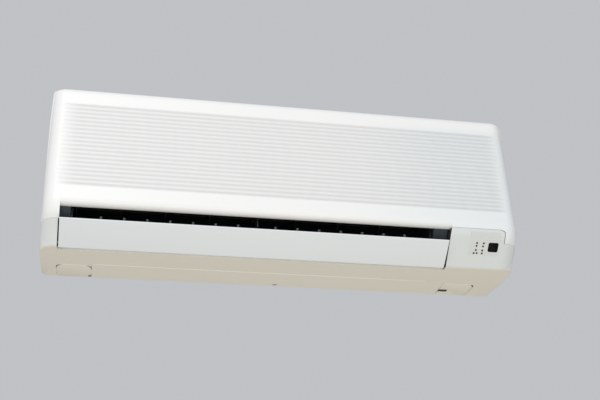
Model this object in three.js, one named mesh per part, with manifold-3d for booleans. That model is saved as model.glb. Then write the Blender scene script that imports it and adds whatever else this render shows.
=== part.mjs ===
// Wall-mounted mini split indoor unit: shell, intake, coil, fan, outlet and controls.
// Millimetres. X runs along the unit (display end +X), Y into the wall, Z up.
// Profiles are drawn as (y, z) with z measured from the unit's bottom back edge.
import * as THREE from 'three';
import { mergeVertices } from 'three/addons/utils/BufferGeometryUtils.js';
import Module from 'manifold-3d';

const wasm = await Module();
wasm.setup();

// ---- driving dimensions ----
const Z_REF = 150;          // height of the origin above the bottom back edge
const W_PANEL = 790;        // front panel width before the display end is stretched
const W_FRAME = 793;        // front frame width, likewise
const H_UNIT = 290;         // overall height
const T_SKIN = 2.5;         // moulded wall thickness
const LEAN = 8.75;          // lean of the front face, degrees
const FACE_Y0 = -181.73;    // face line y at z = 0
const FACE_K = Math.tan(LEAN * Math.PI / 180);
const R_TOP = 16;           // round at the top front edge
const TOP_C = [-123.4, 274];
const R_CURL = 10;          // lower edge curl of the panel
const R_PLAN = 25;          // rounded ends of the panel seen from above
const HINGE = [-123, 286.5];
const RIBS = 20, RIB_Z0 = 103.5, RIB_Z1 = 254.2;
const PART_LINE = [-160.1, 47.7];   // where panel ends and chin meet
const CHIN_EDGE = [-127.7, 7.8];    // front bottom edge
const SLOT_X = [-367.4, 274.2];       // outlet slot in the panel
const NOTCH_X = 370, NOTCH_Z = 66.8;
const FLAP_X = [-366.6, 272.4];
const FLAP_B = [-127.1, 6.7], FLAP_T = [-166.9, 43.0];
const FLAP_PIVOT = [-124.5, 17];
const FAN_C = [-78, 120], FAN_R = 42, FAN_X = [-345, 246];
const DUCT_X = [-347.5, 248.5];     // inner faces of the fan chamber
const VANE_X = [-302.9, -266, -229.1, -192.2, -155.3, -118.4, -81.5,
  -19.4, 17.5, 54.4, 91.3, 128.2, 165.1, 202];
const VANE_P = [-108.4, 22.9];      // vane pivot on the lower duct wall

const END_LONGER = 6.5;     // the display end is longer than the other end by this much
const OUTLET_LONGER = 2.5;  // and the outlet runs this much further toward it

// ---- helpers ----
// the shell is drawn with equal ends; this stretches it toward the display end
function stretchX(x) {
  let d = 0;
  if (x > 262 && x < 312) d += OUTLET_LONGER * Math.min(1, (x - 262) / 6, (312 - x) / 22);
  if (x > 366) d += END_LONGER * Math.min(1, (x - 366) / 5);
  return x + d;
}
const rad = (d) => d * Math.PI / 180;
function man(geo) {
  let g = geo.clone();
  g.deleteAttribute('normal');
  g.deleteAttribute('uv');
  g = mergeVertices(g, 1e-5);
  const m = new wasm.Manifold(new wasm.Mesh({
    numProp: 3,
    vertProperties: new Float32Array(g.attributes.position.array),
    triVerts: new Uint32Array(g.index.array),
  }));
  if (m.volume() > 0) return m;
  const t = new Uint32Array(g.index.array);
  for (let i = 0; i < t.length; i += 3) [t[i + 1], t[i + 2]] = [t[i + 2], t[i + 1]];
  return new wasm.Manifold(new wasm.Mesh({
    numProp: 3, vertProperties: new Float32Array(g.attributes.position.array), triVerts: t,
  }));
}
function shapeOf(pts, holes = []) {
  let p = pts.map((q) => new THREE.Vector2(q[0], q[1]));
  if (THREE.ShapeUtils.area(p) < 0) p = p.reverse();
  const s = new THREE.Shape(p);
  for (const h of holes) s.holes.push(new THREE.Path(h.map((q) => new THREE.Vector2(q[0], q[1]))));
  return s;
}
function extr(pts, depth, holes) {
  return new THREE.ExtrudeGeometry(shapeOf(pts, holes), { depth, bevelEnabled: false, steps: 1 });
}
// profile (y, z) pulled along X
function px(pts, x0, x1) {
  const g = extr(pts, x1 - x0);
  g.applyMatrix4(new THREE.Matrix4().set(0, 0, 1, x0, 1, 0, 0, 0, 0, 1, 0, 0, 0, 0, 0, 1));
  return man(g);
}
// profile (x, y) pulled along Z
function pz(pts, z0, z1) {
  const g = extr(pts, z1 - z0);
  g.translate(0, 0, z0);
  return man(g);
}
// profile (x, z) pulled along Y
function py(pts, y0, y1) {
  const g = extr(pts.map((q) => [q[1], q[0]]), y1 - y0);
  g.applyMatrix4(new THREE.Matrix4().set(0, 1, 0, 0, 0, 0, 1, y0, 1, 0, 0, 0, 0, 0, 0, 1));
  return man(g);
}
function box(x0, x1, y0, y1, z0, z1) {
  const g = new THREE.BoxGeometry(x1 - x0, y1 - y0, z1 - z0);
  g.translate((x0 + x1) / 2, (y0 + y1) / 2, (z0 + z1) / 2);
  return man(g);
}
function cylX(c, r, x0, x1, n = 20, r2 = r) {
  const g = new THREE.CylinderGeometry(r2, r, x1 - x0, n);
  g.rotateZ(-Math.PI / 2);
  g.translate((x0 + x1) / 2, c[0], c[1]);
  return man(g);
}
function cylY(x, z, r, y0, y1, n = 20) {
  const g = new THREE.CylinderGeometry(r, r, y1 - y0, n);
  g.translate(x, (y0 + y1) / 2, z);
  return man(g);
}
function cylZ(x, y, r, z0, z1, n = 20) {
  const g = new THREE.CylinderGeometry(r, r, z1 - z0, n);
  g.rotateX(Math.PI / 2);
  g.translate(x, y, (z0 + z1) / 2);
  return man(g);
}
const uni = (...a) => a.flat().reduce((p, q) => p.add(q));
const cut = (a, ...b) => b.flat().reduce((p, q) => p.subtract(q), a);
function arc(c, r, a0, a1, n) {
  const o = [];
  for (let i = 0; i <= n; i++) {
    const a = rad(a0 + (a1 - a0) * i / n);
    o.push([c[0] + r * Math.cos(a), c[1] + r * Math.sin(a)]);
  }
  return o;
}
// a strip of constant thickness on the right-hand side of a polyline
function strip(pts, t) {
  const off = pts.map((p, i) => {
    const a = pts[Math.max(i - 1, 0)], b = pts[Math.min(i + 1, pts.length - 1)];
    const d = [b[0] - a[0], b[1] - a[1]], l = Math.hypot(...d);
    return [p[0] + t * d[1] / l, p[1] - t * d[0] / l];
  });
  return [...pts, ...off.reverse()];
}
const faceY = (z, off = 0) => FACE_Y0 + FACE_K * z + off / Math.cos(rad(LEAN));

const root = new THREE.Group();
root.name = 'mini_split_indoor_unit';
const counts = [];
function add(name, m, color, rough = 0.5, metal = 0) {
  const parts = m.decompose();
  if (parts.length !== 1) {
    console.error('NOT ONE BODY', name, parts.length, parts.map((p) => p.volume().toFixed(2)
      + JSON.stringify(p.boundingBox())).join(' '));
  }
  const mesh = m.warp((v) => { v[0] = stretchX(v[0]); }).getMesh();
  let g = new THREE.BufferGeometry();
  g.setAttribute('position', new THREE.BufferAttribute(new Float32Array(mesh.vertProperties), 3));
  g.setIndex(new THREE.BufferAttribute(new Uint32Array(mesh.triVerts), 1));
  g = g.toNonIndexed();
  g.computeVertexNormals();
  g.translate(0, 0, -Z_REF);
  const o = new THREE.Mesh(g, new THREE.MeshStandardMaterial({ color, roughness: rough, metalness: metal }));
  o.name = name;
  root.add(o);
  counts.push([name, mesh.triVerts.length / 3]);
  return m;
}
const WHITE = 0xf2f2ef, SOFT = 0xe9e9e4, DARK = 0x22262a, GREY = 0x8d9296, COPPER = 0xb8734a,
  ALU = 0xc3c8cc, STEEL = 0xa9adb1, BLUEGREY = 0x3a444c, BLACK = 0x0b0b0c, FOAM = 0xd8dad6;

// ---- side profiles ----
const angF = 180 - LEAN;                       // direction of the face normal
// closed side profile below the face: large arc into the chin
const R_JAW = 38;
const jawC = [faceY(79.2) + R_JAW * Math.cos(rad(LEAN)), 79.2 - R_JAW * Math.sin(rad(LEAN))];
function jaw(off, n = 6) { return arc(jawC, R_JAW - off, angF, angF + 47.9, n); }
const chinDir = [(CHIN_EDGE[0] - PART_LINE[0]) / 51.4, (CHIN_EDGE[1] - PART_LINE[1]) / 51.4];
const chinN = [chinDir[1], -chinDir[0]];       // outward normal of the chin
const chinIn = (p, off) => [p[0] - chinN[0] * off, p[1] - chinN[1] * off];
const underZ = (y) => -y * CHIN_EDGE[1] / -CHIN_EDGE[0];

// a block laid on the chin: x, s down the chin from the part line, d inwards
function chinBox(x0, x1, s0, s1, d0, d1) {
  const g = new THREE.BoxGeometry(x1 - x0, s1 - s0, d1 - d0);
  g.translate((x0 + x1) / 2, (s0 + s1) / 2, (d0 + d1) / 2);
  g.applyMatrix4(new THREE.Matrix4().set(1, 0, 0, 0,
    0, chinDir[0], -chinN[0], PART_LINE[0], 0, chinDir[1], -chinN[1], PART_LINE[1], 0, 0, 0, 1));
  return man(g);
}
function chinRod(x, s, r, d0, d1, n = 8) {
  const g = new THREE.CylinderGeometry(r, r, d1 - d0, n);
  g.rotateX(Math.PI / 2);
  g.translate(x, s, (d0 + d1) / 2);
  g.applyMatrix4(new THREE.Matrix4().set(1, 0, 0, 0,
    0, chinDir[0], -chinN[0], PART_LINE[0], 0, chinDir[1], -chinN[1], PART_LINE[1], 0, 0, 0, 1));
  return man(g);
}


// ================= front panel =================
function panelProfile(off, yBack) {
  // closed outline of the panel volume, offset inwards by off
  const top = arc(TOP_C, R_TOP - off, 90, angF, 6);
  return [[yBack, TOP_C[1] + R_TOP - off], ...top, ...jaw(off), chinIn(PART_LINE, off),
    ...(off ? [[-157.9, 40], [yBack, 40]] : [[yBack, PART_LINE[1]]])];
}
// the whole unit's outline pulled along X, its front corners rounded by setting
// each end slice back; half is half the width, off an inward offset
function envelope(half, off, n = 5) {
  const pts = [[60, TOP_C[1] + R_TOP - off], ...arc(TOP_C, R_TOP - off, 90, angF, 6), ...jaw(off),
    [CHIN_EDGE[0] + off * 0.55, CHIN_EDGE[1] + off], [60, -6 + off]];
  const r = R_PLAN + half - W_PANEL / 2 - off, h = half - off, N = 2 * n + 1;
  const g = new THREE.ExtrudeGeometry(shapeOf(pts), { depth: 1, steps: N, bevelEnabled: false });
  const a = g.attributes.position;
  for (let i = 0; i < a.count; i++) {
    const k = Math.round(a.getZ(i) * N), lo = k <= n;
    const f = rad(90 * (lo ? (n - k) / n : (k - n - 1) / n));
    const x = (h - r + r * Math.sin(f)) * (lo ? -1 : 1);
    a.setXYZ(i, x, a.getX(i) + r * (1 - Math.cos(f)), a.getY(i));
  }
  return man(g);
}
const PAN_BACK = -124;
let panel = px(panelProfile(0, -122.5), -W_PANEL / 2, W_PANEL / 2).intersect(envelope(W_PANEL / 2, 0));
let panelCore = px(panelProfile(T_SKIN, -110), -W_PANEL / 2 + T_SKIN, W_PANEL / 2 - T_SKIN).intersect(envelope(W_PANEL / 2, T_SKIN));
panel = cut(panel, panelCore);
// back edge of the sides and the open bottom of the ends
panel = cut(panel, box(-400, 400, PAN_BACK, -100, 0, 286), box(-400, 400, -200, -100, 0, PART_LINE[1] + 0.3));
// outlet slot: everything below the curl between the ends
const curlC = [faceY(77.5) + R_CURL * Math.cos(rad(LEAN)), 77.5 - R_CURL * Math.sin(rad(LEAN))];
const slotCut = px([[-200, 30], [-200, 77.5], [faceY(77.5) - 5, 77.5], [faceY(77.5), 77.5],
  [curlC[0], curlC[1]], [-100, curlC[1]], [-100, 30]], SLOT_X[0], SLOT_X[1]);
panel = cut(panel, slotCut);
const curlPts = [...arc(curlC, R_CURL, angF, 292, 6), ...arc(curlC, R_CURL - T_SKIN, 292, angF, 6)];
panel = uni(panel, px(curlPts, SLOT_X[0] - 0.8, SLOT_X[1] + 0.05));
// display notch in the lower right
panel = cut(panel, box(SLOT_X[1] - 0.01, NOTCH_X, -200, -100, 30, NOTCH_Z));
// grooves across the face
for (let i = 0; i < RIBS; i++) {
  const z = RIB_Z0 + (RIB_Z1 - RIB_Z0) * i / (RIBS - 1), y = faceY(z);
  panel = cut(panel, px([[y - 2, z - 2.2], [y + 1.0, z - 0.4], [y + 1.0, z + 0.4], [y - 2, z + 2.2]], -372, 372));
}
// hinge ears and pins
for (const s of [-1, 1]) {
  const b = (u, v) => [Math.min(s * u, s * v), Math.max(s * u, s * v)];
  panel = uni(panel, cylX(HINGE, 3.2, ...b(374, 377.6), 14),
    px([[-131, 279], [-131, 288.5], [-122.8, 288.5], [-122.8, 283.4], [-126, 279.5]], ...b(374, 377.6))
      .intersect(envelope(W_PANEL / 2, 0.4)),
    cylX(HINGE, 1.9, ...b(365.4, 375), 12));
}
add('front_panel', panel, WHITE, 0.45);

// ================= front frame =================
const XF = W_FRAME / 2;
// side profile of the frame behind and below the panel
const frameOut = [[-0.8, 0.05], CHIN_EDGE, PART_LINE, [-123.6, 47.7], [-123.6, 282.2], [-121, 282.6], [-119.6, 284.2],
  [-118.9, 286.5], [-118.7, 290], [-3, 290], [-0.8, 287.8]];
const rr = (h, z0, z1, r) => [...arc([-h + r, z0 + r], r, 180, 270, 5), ...arc([h - r, z0 + r], r, 270, 360, 5),
  ...arc([h - 6, z1 - 6], 6, 0, 90, 3), ...arc([-h + 6, z1 - 6], 6, 90, 180, 3)];
let frame = px(frameOut, -XF, XF).intersect(py(rr(XF, 0, 290, 9), -200, 5)).intersect(envelope(XF, 0));
const frameIn = [[5, 2.6], [-126.5, 10.3], [-154.8, 45.2], [-130, 45.2], [-121.1, 60],
  [-121.1, 280], [-116.2, 281.5], [-116.2, 287.5], [5, 287.5]];
frame = cut(frame, px(frameIn, -XF + T_SKIN, XF - T_SKIN).intersect(py(rr(XF - T_SKIN, 2.5, 287.5, 6.5), -200, 6)).intersect(envelope(XF, T_SKIN)));
// back half of the underside belongs to the chassis between the pipe covers, which are let into the frame
const COVER = { l: [-371, -314], r: [297, 355.4] };
const coverHole = (x0, x1, r) => pz([[x0 - 0.4, 8], [x1 + 0.4, 8], ...arc([x1 + 0.4 - r, -53.4 + r], r, 0, -90, 3),
  ...arc([x0 - 0.4 + r, -53.4 + r], r, 270, 180, 3)], -2, 10);
frame = cut(frame, box(COVER.l[1] + 0.3, COVER.r[0] - 0.3, -60.3, 6, -1, 9), coverHole(...COVER.l, 6), coverHole(...COVER.r, 3));
// inner front wall behind the panel, with the filter opening
const wallPts = [[-118.7, 287.6], [-118.7, 281.5], [-128.3, 276], [-131, 268], [faceY(245, 8.5), 245],
  [faceY(76, 8.5), 76], [faceY(60, 14), 60], [-151, 47.7], [-124.4, 45.5], [-121.9, 45.5], [-121.9, 250], [-116.2, 281], [-116.2, 287.6]];
let nose = px(wallPts, -384, 384);
const noseIn = [[-110, 284], [-118, 279], [-126.4, 274.6], [-128.6, 267], [faceY(244, 11), 244],
  [faceY(78.5, 11), 78.5], [faceY(62, 16.5), 62], [-148.8, 50.2], [-110, 50.2]];
nose = cut(nose, px(noseIn, -381.5, 381.5));
frame = uni(frame, nose, px([[-122.5, 278.5], [-122.5, 281.5], [-118.8, 282.5], [-117.5, 279.5]], -381.5, 381.5));
frame = cut(frame, px([[-120.9, 50.3], [-120.9, 281], [-150, 281], [-150, 50.3]], -381.4, 381.4)
  .intersect(px(noseIn, -381.5, 381.5)));
// filter opening through the inner front wall and the top
frame = cut(frame, px([[-200, 92], [-200, 268], [-100, 268], [-100, 92]], -343, 253));
// outlet opening: chin, ledge and the wall above it, between the end caps
const capL = -368.6, capR = 274.6;
const openCut = px([[-123.2, -3], [-117.4, -3], [-117.4, 20], [-100, 30], [-100, 75], [-180, 75], [-180, -3]], capL, capR);
frame = cut(frame, openCut);
frame = uni(frame,
  // outlet side walls of the end caps
  px([[-117.6, 7.6], CHIN_EDGE, PART_LINE, [-156, 47.7], [-156, 56], [-120, 76], [-112, 76], [-112, 30], [-115, 12]], capL - 2.4, capL),
  px([[-117.6, 7.6], CHIN_EDGE, PART_LINE, [-162, 62], [-156, 76], [-112, 76], [-112, 30], [-115, 12]], capR, capR + 2.4),
  // front lip of the underside, upper wall of the outlet
  px([[-117.4, 7.2], [-117.4, 13.5], [-115.2, 13.5], [-115.2, 9.6], [-112, 9.5], [-112, 6.9]], capL - 1, capR + 1),
  px([[faceY(76, 8.5), 76], [faceY(79, 8.5), 79], [faceY(79, 11), 79], [-140, 79.5], [-140, 77]], capL - 1, capR + 1));
// display end: face carried up into the panel's notch
const jawPts = jaw(0, 10).filter((p) => p[1] < NOTCH_Z - 1);
const topJ = [-169.3, NOTCH_Z - 0.6];
const noseR = [topJ, ...jawPts, PART_LINE, [-156, 47.7], [-156, 52], [-160.5, 58], [-163.5, topJ[1] - 2.5], [-157, topJ[1] - 2.5], [-157, topJ[1]]];
frame = uni(frame, px(noseR, capR, 363.4), px(noseR, 363.3, 369.4).intersect(
  cut(uni(box(363, 369.4, -200, -100, 40, 60.2), cylY(363.4, 60.2, 6, -200, -100, 24)))));
// openings: intake slots in the top, hinge cradles
const slots = [];
for (let i = 0; i < 30; i++) {
  const x = -335 + i * 20;
  slots.push(box(x - 7, x + 7, -108, -63, 280, 295), box(x - 7, x + 7, -57, -16, 280, 295));
}
frame = cut(frame, ...slots);
for (const s of [-1, 1]) {
  const b = (u, v, ...r) => box(Math.min(s * u, s * v), Math.max(s * u, s * v), ...r);
  frame = uni(frame, cut(b(364.6, 372.6, -127.5, -118.9, 274.5, 286.2), cylX(HINGE, 2.5, -400, 400, 14)));
}
frame = cut(frame, cylX(FLAP_PIVOT, 2.7, capL - 4, capL + 1, 14), cylX(FLAP_PIVOT, 2.7, capR - 1, capR + 4, 14));
frame = cut(frame, chinBox(298, 370, 2.5, 36, 2.6, 30));
frame = cut(frame, cylY(330, 150, 4.1, -160, -140, 14), chinBox(346.7, 364.9, 1.8, 19, -1, 5));
for (const [x, q] of [[326, 4], [325.8, 9.1], [325.9, 16.6], [322.9, 22.3], [328.2, 22], [338, 3.8], [337.5, 9.3], [337.4, 16.9], [337.4, 22]]) {
  frame = cut(frame, chinRod(x, q, 1.05, -1, 5, 6));
}
add('front_frame', frame, SOFT, 0.5);

// a round tube along a smooth path of (x, y, z) points
function tube(pts, r, steps, n = 8, tension = 0.5) {
  const c = new THREE.CatmullRomCurve3(pts.map((q) => new THREE.Vector3(...q)), false, 'catmullrom', tension);
  const ring = [];
  for (let i = 0; i < n; i++) ring.push([r * Math.cos(2 * Math.PI * i / n), r * Math.sin(2 * Math.PI * i / n)]);
  const g = new THREE.ExtrudeGeometry(shapeOf(ring), { steps, bevelEnabled: false, extrudePath: c });
  return man(g);
}
// directions along and away from the lower duct wall
const wS = [-0.864, -0.5035], wH = [-0.5035, 0.864];
const VP = (s, h) => [VANE_P[0] + wS[0] * s + wH[0] * h, VANE_P[1] + wS[1] * s + wH[1] * h];
function rodH(x, s, r, h0, h1, n = 8) {
  const g = new THREE.CylinderGeometry(r, r, h1 - h0, n);
  g.translate(0, (h0 + h1) / 2, 0);
  g.applyMatrix4(new THREE.Matrix4().set(1, 0, 0, x, 0, wH[0], -wS[0], VANE_P[0] + wS[0] * s, 0, wH[1], -wS[1], VANE_P[1] + wS[1] * s, 0, 0, 0, 1));
  return man(g);
}

// ================= rear chassis =================
const scrollPts = [[-38, 168], [-33.5, 140], [-32.5, 115], [-36, 92], [-46, 72], [-60, 56], [-78, 42], [-98, 29], [-117.2, 17.8]];
let chassis = uni(
  px([[-60, underZ(-60)], [-60, underZ(-60) + 2.5], [-0.8, 2.6], [-0.8, 0.06]], COVER.l[1] + 0.7, COVER.r[0] - 0.7),
  px([[-60, 4], [-60, 60], [-57.5, 58], [-57.5, 4]], COVER.l[1] + 0.7, COVER.r[0] - 0.7),
  px([[-60, 7.2], [-60, 60], [-57.5, 58], [-57.5, 7.2]], -384.4, 384.4),
  box(-389.5, 389.5, -14, -0.8, 283.8, 286.3),
  box(-390, 390, -12.3, -9.8, 60, 285),
  px(strip(scrollPts, -2.5), DUCT_X[0] - 1, DUCT_X[1] + 1),
  px([[-43.5, 172], [-43.5, 183.5], [-41, 183.5], [-41, 174.5], [-11, 174.5], [-11, 172], [-35, 172], [-35.5, 165], [-38.2, 165], [-39.5, 172]], DUCT_X[0], DUCT_X[1]),
);
for (const s of [-1, 1]) {
  chassis = uni(chassis,
    box(Math.min(s * 389.3, s * 391.8), Math.max(s * 389.3, s * 391.8), -30, -0.8, 29, 285.4));
}
const partition = [[-11, 62], [-50, 62], [-57.5, 55], [-57.5, 6.8], [-110, 12.2], [-113.5, 15], [-117, 17.5], [-132, 40],
  [-138.5, 60], [-138.5, 79], [-123, 84], [-119.5, 96], [-119.5, 130], [-105, 174], [-70, 188], [-46, 188], [-40, 173], [-11, 173]];
chassis = uni(chassis, px(partition, DUCT_X[0] - 2.5, DUCT_X[0]), px(partition, DUCT_X[1], DUCT_X[1] + 2.5));
for (const x of [-250, -100, 50, 170]) {
  chassis = uni(chassis, px([[-11, 62], [-11, 173], [-36.5, 173], [-32, 140], [-31, 115], [-34.5, 92], [-44, 73], [-52, 62]], x - 1.2, x + 1.2));
}
// motor cradle
for (const x of [264, 292]) chassis = uni(chassis, cut(px([[-58, 7], [-104, 12.6], [-112, 60], [-112, 104], [-46, 104], [-46, 66], [-58, 58]], x, x + 2.5), cylX(FAN_C, 38.6, x - 1, x + 4, 28)));
chassis = cut(chassis, cylX(FAN_C, 10.4, DUCT_X[0] - 5, DUCT_X[0] + 2, 20), cylX(FAN_C, 8, DUCT_X[1] - 2, DUCT_X[1] + 5, 20),
  box(188, 212, -20, -5, 261, 273), box(-212, -188, -20, -5, 261, 273));
// screw boss in the underside
chassis = uni(chassis, cylZ(2.8, -8.6, 5.5, 1.2, 12, 16));
chassis = cut(chassis, cylZ(2.8, -8.6, 4.0, -2, 2.6, 16), cylZ(2.8, -8.6, 2.3, -2, 14, 12));
for (const x of VANE_X) chassis = cut(chassis, rodH(x, 0, 2.4, -8, 4, 6));
add('rear_chassis', chassis, SOFT, 0.55);
add('underside_screw', uni(cylZ(2.8, -8.6, 3.6, 0.25, 2.3, 16), cylZ(2.8, -8.6, 1.9, 2, 13.5, 10)), STEEL, 0.35, 1);

// knock-out covers in the underside
const coverZ = (y) => underZ(y);
function cover(x0, x1, r, name, extra = []) {
  const plan = [[x0, -0.9], [x1, -0.9], ...arc([x1 - r, -53 + r], r, 0, -90, 4), ...arc([x0 + r, -53 + r], r, 270, 180, 4)];
  let m = pz(plan, -3, 12).intersect(px([[-54, coverZ(-54) + 0.05], [-54, coverZ(-54) + 2.3], [0, 2.3], [0, 0.05]], x0 - 1, x1 + 1));
  m = uni(m, box(x0 + 8, x1 - 8, -49, -46.5, 3.4, 11));
  m = cut(m, ...extra);
  add(name, m, SOFT, 0.55);
}
cover(COVER.l[0], COVER.l[1], 9, 'left_pipe_cover', [box(-318.6, -313, -9, 3, -3, 9)]);
cover(COVER.r[0], COVER.r[1], 5, 'right_pipe_cover', [box(296, 315.6, -23.5, -17, -3, 9)]);

// ================= mounting plate =================
let plate = cut(box(-330, 330, -1.2, 0, 75, 264),
  box(-300, -230, -3, 1, 95, 200), box(230, 300, -3, 1, 95, 200), box(-170, -60, -3, 1, 95, 130), box(60, 170, -3, 1, 95, 130),
  box(-150, -60, -3, 1, 175, 225), box(60, 150, -3, 1, 175, 225), cylY(0, 225, 3, -3, 1, 12), cylY(-40, 100, 3, -3, 1, 12), cylY(40, 100, 3, -3, 1, 12),
  cylY(-318, 240, 3, -3, 1, 12), cylY(318, 240, 3, -3, 1, 12), cylY(-318, 100, 3, -3, 1, 12), cylY(318, 100, 3, -3, 1, 12));
plate = uni(plate, box(-325, 325, -8.3, -1, 206, 209), box(-325, 325, -8.3, -1, 82, 85));
for (const x of [-200, 200]) {
  plate = uni(plate, box(x - 9, x + 9, -16, -1, 262.6, 264), box(x - 9, x + 9, -16, -14.6, 263, 270),
    box(x - 11, x + 11, -1.2, 0, 50, 78), box(x - 9, x + 9, -15.2, 0, 50, 51.4), box(x - 9, x + 9, -15.2, -13.8, 51, 64));
}
add('mounting_plate', plate, STEEL, 0.4, 1);

// ================= drain pan =================
const panPts = [[-154.8, 97], [-157.2, 82], [-141, 80.6], [-126.4, 83.2], [-121.6, 98], [-124.4, 98], [-127.4, 86], [-128.4, 84.4], [-151, 83.8], [-152.3, 97]];
let pan = px(panPts, -346.8, 247.8);
const panEnd = [[-155, 93.8], [-157.2, 82], [-141, 80.6], [-126.4, 83.2], [-123, 93.8]];
pan = uni(pan, px(panEnd, -346.8, -344.6), px(panEnd, 245.6, 247.8), cylX([-145, 88.6], 4.6, -358, -345, 14), cylX([-145, 88.6], 4.6, 246, 256, 14));
pan = cut(pan, cylX([-145, 88.6], 3, -360, -344, 12), cylX([-145, 88.6], 3, 245, 258, 12));
add('drain_pan', pan, FOAM, 0.75);
add('drain_plug', uni(cylX([-145, 88.6], 2.6, 249, 257, 12), cylX([-145, 88.6], 5, 256.5, 259, 14)), BLACK, 0.8);

// ================= coil =================
const COIL_X = [-337, 239];
const c1 = [[-139, 89.5], [-125.5, 176]], c2 = [[-124, 182], [-88, 240.8]], c3 = [[-70.2, 243.5], [-31.5, 192]];
function slab(a, b, h) {
  const d = [b[0] - a[0], b[1] - a[1]], l = Math.hypot(...d), n = [d[1] / l * h, -d[0] / l * h];
  return [[a[0] + n[0], a[1] + n[1]], [b[0] + n[0], b[1] + n[1]], [b[0] - n[0], b[1] - n[1]], [a[0] - n[0], a[1] - n[1]]];
}
add('coil_lower_front', px(slab(...c1, 10), ...COIL_X), ALU, 0.35, 1);
add('coil_upper_front', px(slab(...c2, 10), ...COIL_X), ALU, 0.35, 1);
add('coil_rear', px(slab(...c3, 10), ...COIL_X), ALU, 0.35, 1);
add('coil_top_seal', px([[-78.9, 238.9], [-93, 248.3], [-88, 252.5], [-72, 253.5], [-65.5, 250.3]], ...COIL_X), BLACK, 0.9);
const lerp = (a, b, t) => [a[0] + (b[0] - a[0]) * t, a[1] + (b[1] - a[1]) * t];
const rows = [c1, c2, c3].map(([a, b], k) => (k === 2 ? [0.14, 0.42, 0.66, 0.9] : [0.1, 0.37, 0.63, 0.9]).map((t) => lerp(a, b, t)));
function endPlate(x0, x1, dir, pairs, xb) {
  let m = uni(px(slab(...c1, 9), x0, x1), px(slab(...c2, 9), x0, x1), px(slab(...c3, 9), x0, x1),
    px([[-134, 172], [-117, 172], [-116, 186], [-133, 190]], x0, x1), px([[-98, 236], [-90, 252], [-68, 252], [-60, 232], [-79, 226]], x0, x1));
  for (const [p, q] of pairs) {
    const mid = [(p[0] + q[0]) / 2, (p[1] + q[1]) / 2], h = Math.hypot(p[0] - q[0], p[1] - q[1]) / 2;
    const P = (t, e) => [xb + dir * e, mid[0] + (p[0] - mid[0]) * t, mid[1] + (p[1] - mid[1]) * t];
    const pts = [P(1, -0.8), P(1, 2.5)];
    for (const a of [35, 70, 90, 110, 145]) pts.push(P(Math.cos(rad(a)), 3 + Math.min(h, 8) * Math.sin(rad(a))));
    pts.push(P(-1, 2.5), P(-1, -0.8));
    m = uni(m, tube(pts, 3.2, 7, 6, 0.4));
  }
  return m;
}
const L = rows;
add('coil_end_plate_left', endPlate(-339.4, -337.6, -1, [[L[0][0], L[0][1]], [L[0][2], L[0][3]], [L[1][0], L[1][1]], [L[1][2], L[1][3]], [L[2][0], L[2][1]], [L[2][2], L[2][3]]], -339.4), COPPER, 0.35, 1);
add('coil_end_plate_right', endPlate(239.6, 241.4, 1, [[L[0][1], L[0][2]], [L[0][3], L[1][0]], [L[1][1], L[1][2]], [L[2][1], L[2][2]]], 241.4), COPPER, 0.35, 1);
const gasEnd = L[2][3], liqEnd = L[1][3];
add('gas_pipe', tube([[242, ...gasEnd], [262, ...gasEnd], [306, -31, 190], [312, -28, 170], [312, -28, 80], [306, -30, 46], [285, -31, 40], [240, -31, 40], [100, -31, 40], [-40, -31, 40]], 4.6, 26, 6, 0.35), COPPER, 0.35, 1);
add('liquid_pipe', tube([[242, ...liqEnd], [268, ...liqEnd], [312, -60, 238], [320, -30, 220], [322, -28, 180], [322, -28, 60], [314, -34, 24], [290, -36, 20], [240, -36, 20], [100, -36, 20], [-10, -36, 20]], 3, 26, 6, 0.35), COPPER, 0.35, 1);
const nut = (x0, x1, c, r, name) => add(name, cut(cylX(c, r, x0, x1, 6), cylX(c, r * 0.42, x0 + (x1 - x0) * 0.3, x1 + 1, 12), cylX(c, r * 0.3, x0 - 1, x1, 12)), 0xc9a14a, 0.3, 1);
nut(-60, -41, [-31, 40], 11, 'gas_flare_nut');
nut(-28, -11, [-36, 20], 8.5, 'liquid_flare_nut');

// ================= fan =================
let fan = uni(cylX(FAN_C, FAN_R, FAN_X[0], FAN_X[0] + 3, 24), cylX(FAN_C, FAN_R, FAN_X[1] - 3, FAN_X[1], 24));
const discs = [-147, 48];
for (const x of discs) fan = uni(fan, cylX(FAN_C, FAN_R - 0.6, x - 1, x + 1, 20));
const N_BLADE = 16;
for (let i = 0; i < N_BLADE; i++) {
  const a = rad(360 / N_BLADE * i + 4), R = (r, t) => [FAN_C[0] + r * Math.cos(a + t), FAN_C[1] + r * Math.sin(a + t)];
  fan = uni(fan, px([R(41, 0), R(41, 0.045), R(31.5, -0.1), R(31.5, -0.15)], FAN_X[0] + 1, FAN_X[1] - 1));
}
fan = uni(fan, cylX(FAN_C, 6, -356, FAN_X[0] + 2, 12), cylX(FAN_C, 7, FAN_X[1] - 22, FAN_X[1] - 1, 12));
fan = cut(fan, cylX(FAN_C, 4.4, FAN_X[1] - 20, FAN_X[1] + 2, 12));
add('cross_flow_fan', fan, 0x4a4f55, 0.6);
add('fan_shaft', cylX(FAN_C, 4, FAN_X[1] - 19, 270, 12), STEEL, 0.3, 1);
add('fan_bearing', cut(cylX(FAN_C, 9.9, -355, -346.2, 18), cylX(FAN_C, 6.4, -357, -345, 14)), BLACK, 0.85);
let motor = uni(cylX(FAN_C, 38, 268.5, 290, 28), cylX(FAN_C, 33, 262, 302, 28), cylX(FAN_C, 12, 256, 310, 18));
motor = cut(motor, cylX(FAN_C, 4.4, 250, 272, 12));
add('fan_motor', motor, 0x5a6066, 0.45, 1);
add('motor_clamp', cut(uni(px([[-70, 106], [-124, 106], [-124, 112], [-121, 150], [-70, 166], [-66, 162]], 264.2, 294.3)), cylX(FAN_C, 38.7, 260, 300, 28),
  px([[-60, 60], [-60, 200], [-76, 200], [-76, 60]], 255, 300)), SOFT, 0.5);

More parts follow.
